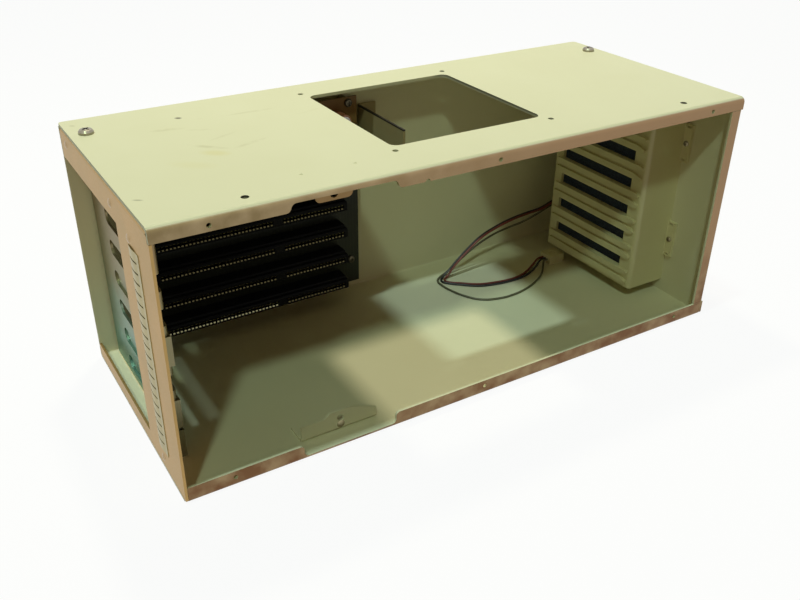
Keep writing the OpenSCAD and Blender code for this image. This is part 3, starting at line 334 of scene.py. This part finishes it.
def add_capacitor_top(number, material):
    """Aluminium end of a capacitor inside its sleeve, with the stamped cross of its vent."""
    low, high = box_mm(f"capacitor_{number}")
    radius = (high.x - low.x) / 2 - SLEEVE_RIM
    middle = (low + high) / 2
    bm = bmesh.new()
    bmesh.ops.create_cone(bm, cap_ends=True, segments=CAN_SIDES, radius1=radius, radius2=radius, depth=CAN_T)
    span = CROSS_SPAN * radius
    for bar in ((span, CROSS_W, CROSS_T), (CROSS_W, span, CROSS_T)):
        made = bmesh.ops.create_cube(bm, size=1.0)["verts"]
        bmesh.ops.scale(bm, vec=bar, verts=made)
    bmesh.ops.rotate(bm, cent=(0, 0, 0), matrix=Matrix.Rotation(pi / 2, 3, "X"), verts=bm.verts)
    bmesh.ops.translate(bm, vec=(middle.x, low.y, middle.z), verts=bm.verts)
    add_mesh(f"capacitor_top_{number}", bm, material)


def add_filter_mat(material):
    """Thin filter mat inside the card guide, behind its air openings."""
    low, high = Vector(MAT_LOW), Vector(MAT_HIGH)
    bm = bmesh.new()
    bmesh.ops.create_cube(bm, size=1.0)
    bmesh.ops.scale(bm, vec=high - low, verts=bm.verts)
    bmesh.ops.translate(bm, vec=(low + high) / 2, verts=bm.verts)
    add_mesh("filter_mat", bm, material)


def marks(tree, place, spots):
    """Soft oval marks on the cover as one mask."""
    total = None
    for (x, y), half, turn, strength in spots:
        spot = add(tree, "ShaderNodeMapping", {
            "Vector": place, "Location": Vector((x, y, COVER_Z)) * MM, "Rotation": (0, 0, radians(turn)),
            "Scale": Vector((*half, MARK_DEPTH)) * MM}, vector_type="TEXTURE")
        far = add(tree, "ShaderNodeVectorMath", {0: spot.outputs[0]}, operation="LENGTH")
        mask = add(tree, "ShaderNodeMapRange", {
            "Value": far.outputs["Value"], "From Min": 1.0, "From Max": MARK_CORE,
            "To Max": strength}).outputs["Result"]
        total = mask if total is None else add(
            tree, "ShaderNodeMath", {0: total, 1: mask}, operation="MAXIMUM").outputs[0]
    return total


def reflection_tint(tree, place):
    """Tint by height: tan on the floor, then teal low down, grey-green and brown above, a painted reflection of
    the surroundings.
    """
    axes = add(tree, "ShaderNodeSeparateXYZ", {"Vector": place})
    cloud = add(tree, "ShaderNodeTexNoise", {"Vector": place, "Scale": per_mm(30), "Detail": 4.0})
    sway = add(tree, "ShaderNodeMapRange", {
        "Value": cloud.outputs["Fac"], "To Min": -TINT_SWAY * MM, "To Max": TINT_SWAY * MM})
    height = add(tree, "ShaderNodeMath", {0: axes.outputs["Z"], 1: sway.outputs["Result"]}, operation="ADD")
    teal, behind, brown, tan = (
        add(tree, "ShaderNodeMapRange", {
            "Value": value, "From Min": start * MM, "From Max": end * MM}).outputs["Result"]
        for value, (start, end) in (
            (height.outputs[0], REFLECTION_TEAL), (axes.outputs["Y"], REFLECTION_TEAL_DEPTH),
            (height.outputs[0], REFLECTION_BROWN), (axes.outputs["Z"], FLOOR_TAN)))
    low = add(tree, "ShaderNodeMath", {0: teal, 1: behind}, operation="MULTIPLY")
    tint = linear("#8a8464")
    # Teal low down and brown above stand in for what the bare metal reflects: painted reflection
    for mask, tone in ((brown, "#8f7350"), (low.outputs[0], "#7fa393"), (tan, "#e8d4ae")):
        tint = add(tree, "ShaderNodeMix", {"Factor": mask, A_COLOUR: tint, B_COLOUR: linear(tone)},
                   data_type="RGBA").outputs[COLOUR]
    return tint


def worn_enamel(tree, place):
    """Colour of the paint: a slow drift between two creams, with the cover's rubs, stains and chips."""
    drift = add(tree, "ShaderNodeTexNoise", {"Vector": place, "Scale": per_mm(70), "Detail": 3.0})
    paint = add(tree, "ShaderNodeMix", {
        "Factor": drift.outputs["Fac"], A_COLOUR: linear("#e1ddc3"), B_COLOUR: linear("#d9d4b7")},
        data_type="RGBA").outputs[COLOUR]
    smear = add(tree, "ShaderNodeTexNoise", {"Vector": place, "Scale": per_mm(6), "Detail": 4.0})
    patchy = add(tree, "ShaderNodeMapRange", {
        "Value": smear.outputs["Fac"], "From Min": 0.35, "From Max": 0.65})
    rubbed = add(tree, "ShaderNodeMath", {0: marks(tree, place, RUBS), 1: patchy.outputs["Result"]},
                 operation="MULTIPLY")
    for mask, tone in ((rubbed.outputs[0], "#b3aa80"), (marks(tree, place, STAINS), "#d2c478"),
                       (marks(tree, place, CHIPS), "#5a5136")):
        paint = add(tree, "ShaderNodeMix", {"Factor": mask, A_COLOUR: paint, B_COLOUR: linear(tone)},
                    data_type="RGBA").outputs[COLOUR]
    return paint


def lip_metal_and_reflection(tree, axes, mottle):
    """Colour of the lips' bare metal with a painted brown reflection in it: brown blotches below; above, a rubbed
    left end that turns plain brown.
    """
    # The brown below and the plain brown at the right above stand partly for a brown surface reflected in the
    # lips: painted reflection
    blotch = add(tree, "ShaderNodeMapRange", {
        "Value": mottle.outputs["Fac"], "From Min": 0.38, "From Max": 0.66}).outputs["Result"]
    low = add(tree, "ShaderNodeMix", {
        "Factor": blotch, A_COLOUR: linear("#755539"), B_COLOUR: linear("#9a8462")}, data_type="RGBA")
    rubbed = add(tree, "ShaderNodeMix", {
        "Factor": blotch, A_COLOUR: linear("#877553"), B_COLOUR: linear("#a08d6b")}, data_type="RGBA")
    along, height = (
        add(tree, "ShaderNodeMapRange", {
            "Value": axes.outputs[axis], "From Min": start * MM, "From Max": end * MM}).outputs["Result"]
        for axis, (start, end) in (("X", LIP_ALONG), ("Z", LIP_HEIGHT)))
    high = add(tree, "ShaderNodeMix", {
        "Factor": along, A_COLOUR: rubbed.outputs[COLOUR], B_COLOUR: linear("#997d5d")}, data_type="RGBA")
    return add(tree, "ShaderNodeMix", {
        "Factor": height, A_COLOUR: low.outputs[COLOUR], B_COLOUR: high.outputs[COLOUR]},
        data_type="RGBA").outputs[COLOUR]


def recess_mask(tree, axes):
    """One in the recess round the slot panel, and nought elsewhere."""
    mask = 1.0
    for axis, outside, inside in RECESS:
        side = add(tree, "ShaderNodeMapRange", {
            "Value": axes.outputs[axis], "From Min": outside * MM, "From Max": inside * MM})
        mask = add(tree, "ShaderNodeMath", {0: mask, 1: side.outputs["Result"]},
                   operation="MULTIPLY").outputs[0]
    return mask


def enamelled_steel():
    """Baked semi-gloss enamel on folded sheet: an even cream-green skin with a faint orange peel, with rubs,
    chips and a yellow stain on the cover, painted shade on cut edges, bare mottled metal on the masked front
    faces of the lips with a painted brown reflection in it, and painted light in the recess round the slot panel."""
    material, tree, place = start_material("enamelled_steel")
    axes = add(tree, "ShaderNodeSeparateXYZ", {"Vector": place})
    facing = add(tree, "ShaderNodeSeparateXYZ", {"Vector": add(tree, "ShaderNodeTexCoord").outputs["Normal"]})
    flat = add(tree, "ShaderNodeMath", {0: facing.outputs["Z"]}, operation="ABSOLUTE")
    upright = add(tree, "ShaderNodeMapRange", {
        "Value": flat.outputs[0], "From Min": EDGE_TILT[0], "From Max": EDGE_TILT[1]})
    # Upright cut edges in the holes and along the cut-out are darkened to near-black brown: painted shade
    edge_shade = add(tree, "ShaderNodeMath", {0: marks(tree, place, EDGE_SHADE_MARKS), 1: upright.outputs["Result"]},
                operation="MULTIPLY")
    paint = add(tree, "ShaderNodeMix", {
        "Factor": edge_shade.outputs[0], A_COLOUR: worn_enamel(tree, place), B_COLOUR: linear("#241f14")},
        data_type="RGBA")
    # Bare metal faces the front only, so the paint wraps over each fold and each cut edge
    turned = add(tree, "ShaderNodeMapRange", {
        "Value": facing.outputs["Y"], "From Min": LIP_TURN[0], "From Max": LIP_TURN[1]})
    front = add(tree, "ShaderNodeMapRange", {
        "Value": axes.outputs["Y"], "From Min": LIP_FRONT[0] * MM, "From Max": LIP_FRONT[1] * MM})
    lips = add(tree, "ShaderNodeMath", {0: turned.outputs["Result"], 1: front.outputs["Result"]},
               operation="MULTIPLY").outputs[0]
    mottle = add(tree, "ShaderNodeTexNoise", {"Vector": place, "Scale": per_mm(14), "Detail": 5.0})
    colour = add(tree, "ShaderNodeMix", {
        "Factor": lips, A_COLOUR: paint.outputs[COLOUR], B_COLOUR: lip_metal_and_reflection(tree, axes, mottle)},
        data_type="RGBA")
    # The recess round the slot panel has a passivated skin, not paint; its mix towards near white is painted
    # light for what its bare metal reflects
    recess_lightened = add(tree, "ShaderNodeMix", {
        "Factor": RECESS_PAINTED_LIGHT, A_COLOUR: reflection_tint(tree, place), B_COLOUR: linear("#ffeed4")},
        data_type="RGBA")
    colour = add(tree, "ShaderNodeMix", {
        "Factor": recess_mask(tree, axes), A_COLOUR: colour.outputs[COLOUR],
        B_COLOUR: recess_lightened.outputs[COLOUR]}, data_type="RGBA")
    peel = add(tree, "ShaderNodeTexNoise", {"Vector": place, "Scale": per_mm(1.8), "Detail": 2.0})
    bump = add(tree, "ShaderNodeBump", {"Height": peel.outputs["Fac"], "Strength": 0.12, "Distance": 0.2 * MM})
    rough = add(tree, "ShaderNodeMapRange", {"Value": mottle.outputs["Fac"], "To Min": 0.48, "To Max": 0.58})
    close_material(tree, Base_Color=colour.outputs[COLOUR], Metallic=lips, Specular_IOR_Level=0.35,
                   Roughness=rough.outputs["Result"], Normal=bump.outputs["Normal"])
    return material


def plated_steel():
    """Dull zinc-plated sheet, handled and slightly tarnished: a soft sheen with tan and salmon clouds."""
    material, tree, place = start_material("tarnished_zinc_sheet")
    cloud = add(tree, "ShaderNodeTexNoise", {"Vector": place, "Scale": per_mm(24), "Detail": 4.0})
    colour = add(tree, "ShaderNodeMix", {
        "Factor": cloud.outputs["Fac"], A_COLOUR: linear("#a58c58"), B_COLOUR: linear("#c29c62")},
        data_type="RGBA")
    # The plate's real grain is about a tenth of a millimetre, and is drawn coarser so that it shows
    grain = add(tree, "ShaderNodeTexNoise", {"Vector": place, "Scale": per_mm(1.2), "Detail": 3.0})
    rough = add(tree, "ShaderNodeMapRange", {"Value": grain.outputs["Fac"], "To Min": 0.38, "To Max": 0.55})
    bump = add(tree, "ShaderNodeBump", {"Height": grain.outputs["Fac"], "Strength": 0.1, "Distance": 0.1 * MM})
    close_material(tree, Base_Color=colour.outputs[COLOUR], Metallic=0.9, Roughness=rough.outputs["Result"],
                   Normal=bump.outputs["Normal"])
    return material


def passivated_steel():
    """Zinc sheet under a passivation film, grey-green, with a painted reflection that tints it brown near the top
    and teal near the foot.
    """
    material, tree, place = start_material("passivated_zinc_sheet")
    cloud = add(tree, "ShaderNodeTexNoise", {"Vector": place, "Scale": per_mm(20), "Detail": 4.0})
    rough = add(tree, "ShaderNodeMapRange", {"Value": cloud.outputs["Fac"], "To Min": 0.34, "To Max": 0.5})
    close_material(tree, Base_Color=reflection_tint(tree, place), Metallic=0.9, Roughness=rough.outputs["Result"])
    return material


def circuit_board():
    """Glass-epoxy board under dark solder mask: slightly paler upright tracks, and brown along its upper edge."""
    material, tree, place = start_material("solder_masked_board")
    tracks = add(tree, "ShaderNodeTexWave", {
        "Vector": place, "Scale": per_mm(TRACK_PITCH) / WAVE_BANDS, "Distortion": 0.0}, bands_direction="X")
    line = add(tree, "ShaderNodeMapRange", {"Value": tracks.outputs["Fac"], "From Min": 0.75, "From Max": 0.85})
    mask = add(tree, "ShaderNodeMix", {
        "Factor": line.outputs["Result"], A_COLOUR: linear("#1e2013"), B_COLOUR: linear("#232617")},
        data_type="RGBA")
    axes = add(tree, "ShaderNodeSeparateXYZ", {"Vector": place})
    margin = add(tree, "ShaderNodeMapRange", {
        "Value": axes.outputs["Z"], "From Min": BOARD_MARGIN[0] * MM, "From Max": BOARD_MARGIN[1] * MM})
    colour = add(tree, "ShaderNodeMix", {
        "Factor": margin.outputs["Result"], A_COLOUR: mask.outputs[COLOUR], B_COLOUR: linear("#8a6c44")},
        data_type="RGBA")
    # The glass cloth's real weave is about half a millimetre, and is drawn coarser so that it shows
    weave = add(tree, "ShaderNodeTexNoise", {"Vector": place, "Scale": per_mm(1.0), "Detail": 2.0})
    rough = add(tree, "ShaderNodeMapRange", {"Value": weave.outputs["Fac"], "To Min": 0.3, "To Max": 0.42})
    close_material(tree, Base_Color=colour.outputs[COLOUR], Roughness=rough.outputs["Result"],
                   Specular_IOR_Level=0.2)
    return material


def shaded_bracket_sheet():
    """Brown-grey sheet of the inner bracket, a painted shade, with a darker painted shade along the upper edge of
    its arm.
    """
    material, tree, place = start_material("shaded_steel_sheet")
    cloud = add(tree, "ShaderNodeTexNoise", {"Vector": place, "Scale": per_mm(18), "Detail": 4.0})
    # A brown-grey tone that stands in for the shade the bracket lies in: painted shade
    shade_tone = add(tree, "ShaderNodeMix", {
        "Factor": cloud.outputs["Fac"], A_COLOUR: linear("#9c8b64"), B_COLOUR: linear("#a99c78")},
        data_type="RGBA")
    axes = add(tree, "ShaderNodeSeparateXYZ", {"Vector": place})
    far = box_mm("inner_bracket")[1]
    upper, arm = (
        add(tree, "ShaderNodeMapRange", {
            "Value": axes.outputs[axis], "From Min": (reach - start) * MM, "From Max": (reach - end) * MM})
        for axis, reach, (start, end) in (("Z", far.z, BRACKET_EDGE_SHADE), ("Y", far.y, BRACKET_ARM_SHADE)))
    dark = add(tree, "ShaderNodeMath", {0: upper.outputs["Result"], 1: arm.outputs["Result"]},
               operation="MULTIPLY")
    # Near black along the arm's upper edge: painted shade
    colour = add(tree, "ShaderNodeMix", {
        "Factor": dark.outputs[0], A_COLOUR: shade_tone.outputs[COLOUR], B_COLOUR: linear("#1d1810")},
        data_type="RGBA")
    close_material(tree, Base_Color=colour.outputs[COLOUR], Roughness=0.6, Specular_IOR_Level=0.25)
    return material


def filter_foam():
    """Open-celled filter foam: a near-black mat with a blue-green cast and small pits."""
    material, tree, place = start_material("open_cell_filter_foam")
    cells = add(tree, "ShaderNodeTexVoronoi", {"Vector": place, "Scale": per_mm(1.4)})
    cloud = add(tree, "ShaderNodeTexNoise", {"Vector": place, "Scale": per_mm(18), "Detail": 3.0})
    tint = add(tree, "ShaderNodeMix", {
        "Factor": cloud.outputs["Fac"], A_COLOUR: linear("#10191b"), B_COLOUR: linear("#22343a")},
        data_type="RGBA")
    colour = add(tree, "ShaderNodeMix", {
        "Factor": cells.outputs["Distance"], A_COLOUR: linear("#07090a"), B_COLOUR: tint.outputs[COLOUR]},
        data_type="RGBA")
    bump = add(tree, "ShaderNodeBump", {
        "Height": cells.outputs["Distance"], "Strength": 0.8, "Distance": 0.6 * MM})
    close_material(tree, Base_Color=colour.outputs[COLOUR], Roughness=0.9, Normal=bump.outputs["Normal"])
    return material


def moulded(name, dark, pale, size, roughness, specular=0.5, spread=0.06):
    """A moulded plastic with faint flow clouds and a fine spark-eroded grain."""
    material, tree, place = start_material(name)
    cloud = add(tree, "ShaderNodeTexNoise", {"Vector": place, "Scale": per_mm(size), "Detail": 3.0})
    colour = add(tree, "ShaderNodeMix", {
        "Factor": cloud.outputs["Fac"], A_COLOUR: linear(dark), B_COLOUR: linear(pale)}, data_type="RGBA")
    # The mould's real grain is about a tenth of a millimetre, and is drawn coarser so that it shows
    grain = add(tree, "ShaderNodeTexNoise", {"Vector": place, "Scale": per_mm(0.6), "Detail": 2.0})
    rough = add(tree, "ShaderNodeMapRange", {
        "Value": grain.outputs["Fac"], "To Min": roughness - spread, "To Max": roughness + spread})
    bump = add(tree, "ShaderNodeBump", {"Height": grain.outputs["Fac"], "Strength": 0.1, "Distance": 0.05 * MM})
    close_material(tree, Base_Color=colour.outputs[COLOUR], Roughness=rough.outputs["Result"],
                   Normal=bump.outputs["Normal"], Specular_IOR_Level=specular)
    return material


def metal(name, dark, pale, size, roughness, spread=0.07, metallic=1.0):
    """A plain metal with small clouds of tarnish; a film on it makes it less metallic."""
    material, tree, place = start_material(name)
    cloud = add(tree, "ShaderNodeTexNoise", {"Vector": place, "Scale": per_mm(size), "Detail": 3.0})
    colour = add(tree, "ShaderNodeMix", {
        "Factor": cloud.outputs["Fac"], A_COLOUR: linear(dark), B_COLOUR: linear(pale)}, data_type="RGBA")
    rough = add(tree, "ShaderNodeMapRange", {
        "Value": cloud.outputs["Fac"], "To Min": roughness - spread, "To Max": roughness + spread})
    close_material(tree, Base_Color=colour.outputs[COLOUR], Metallic=metallic,
                   Roughness=rough.outputs["Result"])
    return material


def seen_directly(tree):
    """One for rays that carry the background to the eye: straight, mirrored or let through."""
    path = add(tree, "ShaderNodeLightPath")
    either = add(tree, "ShaderNodeMath", {0: path.outputs["Is Camera Ray"], 1: path.outputs["Is Glossy Ray"]},
                 operation="MAXIMUM")
    return add(tree, "ShaderNodeMath", {0: either.outputs[0], 1: path.outputs["Is Transmission Ray"]},
               operation="MAXIMUM").outputs[0]


def add_world():
    """White to the eye, and a soft even light on the object."""
    world = bpy.data.worlds.new("studio_world")
    bpy.context.scene.world = world
    world.use_nodes = True
    tree = world.node_tree
    tree.nodes.clear()
    soft = add(tree, "ShaderNodeBackground", {"Color": linear("#ffcc88"), "Strength": AMBIENT})
    white = add(tree, "ShaderNodeBackground", {"Color": linear("#ffffff"), "Strength": 1.0})
    both = add(tree, "ShaderNodeMixShader", {
        0: seen_directly(tree), 1: soft.outputs[0], 2: white.outputs[0]})
    add(tree, "ShaderNodeOutputWorld", {"Surface": both.outputs[0]})


def add_floor():
    """Plain pale floor that looks white and keeps a faint shadow, and throws little light back."""
    material, tree, _ = start_material("studio_floor")
    dim = add(tree, "ShaderNodeBsdfDiffuse", {"Color": linear("#8e8064")})
    matt = add(tree, "ShaderNodeBsdfDiffuse", {"Color": linear("#ffffff")})
    white = add(tree, "ShaderNodeEmission", {"Color": linear("#ffffff"), "Strength": 1.0})
    pale = add(tree, "ShaderNodeMixShader", {0: FLOOR_WHITE, 1: matt.outputs[0], 2: white.outputs[0]})
    both = add(tree, "ShaderNodeMixShader", {0: seen_directly(tree), 1: dim.outputs[0], 2: pale.outputs[0]})
    add(tree, "ShaderNodeOutputMaterial", {"Surface": both.outputs[0]})
    bm = bmesh.new()
    bmesh.ops.create_grid(bm, x_segments=1, y_segments=1, size=FLOOR_HALF)
    bmesh.ops.translate(bm, vec=(0, 0, -FLOOR_DROP * MM), verts=bm.verts)
    mesh = bpy.data.meshes.new("studio_floor")
    bm.to_mesh(mesh)
    bm.free()
    mesh.materials.append(material)
    floor = bpy.data.objects.new("studio_floor", mesh)
    link(floor)


def add_lamp(name, place, aim, sizes, level, colour, shows):
    """A round or long lamp that gives its share of a full light level at its aim."""
    lamp = bpy.data.lights.new(name, "AREA")
    lamp.shape = "ELLIPSE"
    lamp.size, lamp.size_y = (size * MM for size in sizes)
    lamp.color = linear(colour)[:3]
    way = (Vector(aim) - Vector(place)) * MM
    lamp.energy = level * LAMP_WATTS * way.length ** 3 / abs(way.z)
    holder = bpy.data.objects.new(name, lamp)
    holder.visible_glossy = shows
    holder.location = Vector(place) * MM
    holder.rotation_euler = way.to_track_quat("-Z", "Y").to_euler()
    link(holder)


def dress(material, *names):
    """Gives CAD nodes a finish."""
    for name in names:
        mesh = nodes[name].data
        mesh.materials.clear()
        mesh.materials.append(material)


bpy.context.scene.view_settings.view_transform = "Standard"
add_camera()

# Soft vinyl of the leads: plain colours with a low shine
leads = {
    "black": moulded("black_lead_vinyl", "#18171a", "#242326", 8, 0.4),
    "red": moulded("red_lead_vinyl", "#6c2b25", "#80362d", 8, 0.4),
    "grey": moulded("grey_lead_vinyl", "#514f3d", "#64614b", 8, 0.4),
}
for colour, material in leads.items():
    add_lead(colour, material)

enamel = enamelled_steel()
sheet = plated_steel()
passivated = passivated_steel()
board = circuit_board()
# Filled polyester of the card connectors: near black and matt, with hardly a highlight
connector_black = moulded("black_polyester_moulding", "#090908", "#100f0e", 12, 0.6, 0.08)
# Filled polyester of the fan: blue-black, with a dull shine from the mould
fan_black = moulded("black_fan_moulding", "#15161a", "#20222a", 15, 0.42)
# Nylon that has aged: cream, a little yellow, with a soft shine
nylon = moulded("cream_nylon_moulding", "#d6cfa6", "#e0d9b4", 30, 0.42)
# Vinyl sleeve shrunk on the capacitors: copper-coloured and rather glossy
sleeve = moulded("shrunk_copper_sleeve", "#9a5f48", "#b87a5e", 6, 0.3)
# Bright zinc plate on small turned and pressed parts: a grey, slightly uneven shine
zinc = metal("bright_zinc_plate", "#7f7969", "#aaa38f", 3, 0.31, 0.09)
# Zinc plate that has gone dull: grey-tan and matt
dull_zinc = metal("dull_zinc_plate", "#857c5f", "#9c9373", 3, 0.6)
# Tinned spring bronze of the contact strip: pale, with a slight green-grey cast
strip = metal("tinned_spring_bronze", "#938b5e", "#b8aa78", 9, 0.375, 0.075, 0.95)
# Lacquered winding wire: red-brown, with small lighter places
copper = metal("lacquered_copper_wire", "#8a5230", "#b0703f", 2, 0.35)
# Thin gilding on the contacts, pale and a little green: a lit copy for the lowest connector's main row, painted
# light
lit_contact_metal = metal("lit_contact_bronze", "#8a8663", "#a09b78", 5, 0.35)
# The same gilding as a shaded copy for the other contacts, dark olive with a weak shine: painted shade
shaded_contact_metal = metal("shaded_contact_bronze", "#4e472f", "#686043", 5, 0.45)
# Drawn aluminium of the capacitor ends: pale grey with a soft shine
aluminium = metal("drawn_aluminium_can", "#a9a5a0", "#c9c4bc", 4, 0.35)
# Bare steel of the upper catch, browned by handling: dull, with large soft clouds
catch_steel = metal("handled_catch_steel", "#7b6440", "#927651", 8, 0.5)
# Oxidised screw steel: dark grey-brown, with no clear highlight
oxidised = metal("oxidised_screw_steel", "#4a4536", "#5d5745", 3, 0.5)
# Passivated rivet heads: tan, with a small clear highlight
rivet_metal = metal("passivated_rivet_steel", "#94805f", "#c0a783", 2, 0.3)

dress(enamel, "base_pan", "top_cover", "right_side_panel", "lower_catch_bracket")
dress(shaded_bracket_sheet(), "inner_bracket")
# How deep the inner bracket is can only be guessed, and the photo shows no shadow of it
nodes["inner_bracket"].visible_shadow = False
dress(sheet, "left_side_panel")
dress(catch_steel, "upper_catch_bracket")
dress(passivated, "slot_panel", "slot_blank_1", "slot_blank_2", "slot_blank_3")
dress(zinc, "cover_screws", "blank_screws", "backplane_spacers", "fan_screws")
dress(dull_zinc, "guide_screws", "inner_screws", "catch_rivet")
dress(oxidised, "backplane_screws")
dress(rivet_metal, "side_rivets")
dress(strip, "finger_strip")
dress(board, "backplane_board")
dress(connector_black, *[f"card_connector_{number}" for number in CARDS])
dress(nylon, "supply_header", "card_guide", "lead_connector")
dress(sleeve, *[f"capacitor_{number}" for number in CAPACITORS])
dress(fan_black, "fan_frame", "fan_rotor")
dress(copper, "fan_stator")

for number in CARDS:
    # The lowest connector's main row gets the lit copy, all other contacts the shaded copy: painted light and
    # shade
    main_metal = lit_contact_metal if number == 1 else shaded_contact_metal
    add_contacts(f"card_contacts_{number}", number, 0, MAIN_WAYS, main_metal)
    add_contacts(f"tail_contacts_{number}", number, TAIL_START, TAIL_WAYS, shaded_contact_metal)
add_header_pins(zinc)
for number in CAPACITORS:
    add_capacitor_top(number, aluminium)
add_filter_mat(filter_foam())

add_world()
add_floor()
for name, facts in LAMPS.items():
    add_lamp(name, *facts)
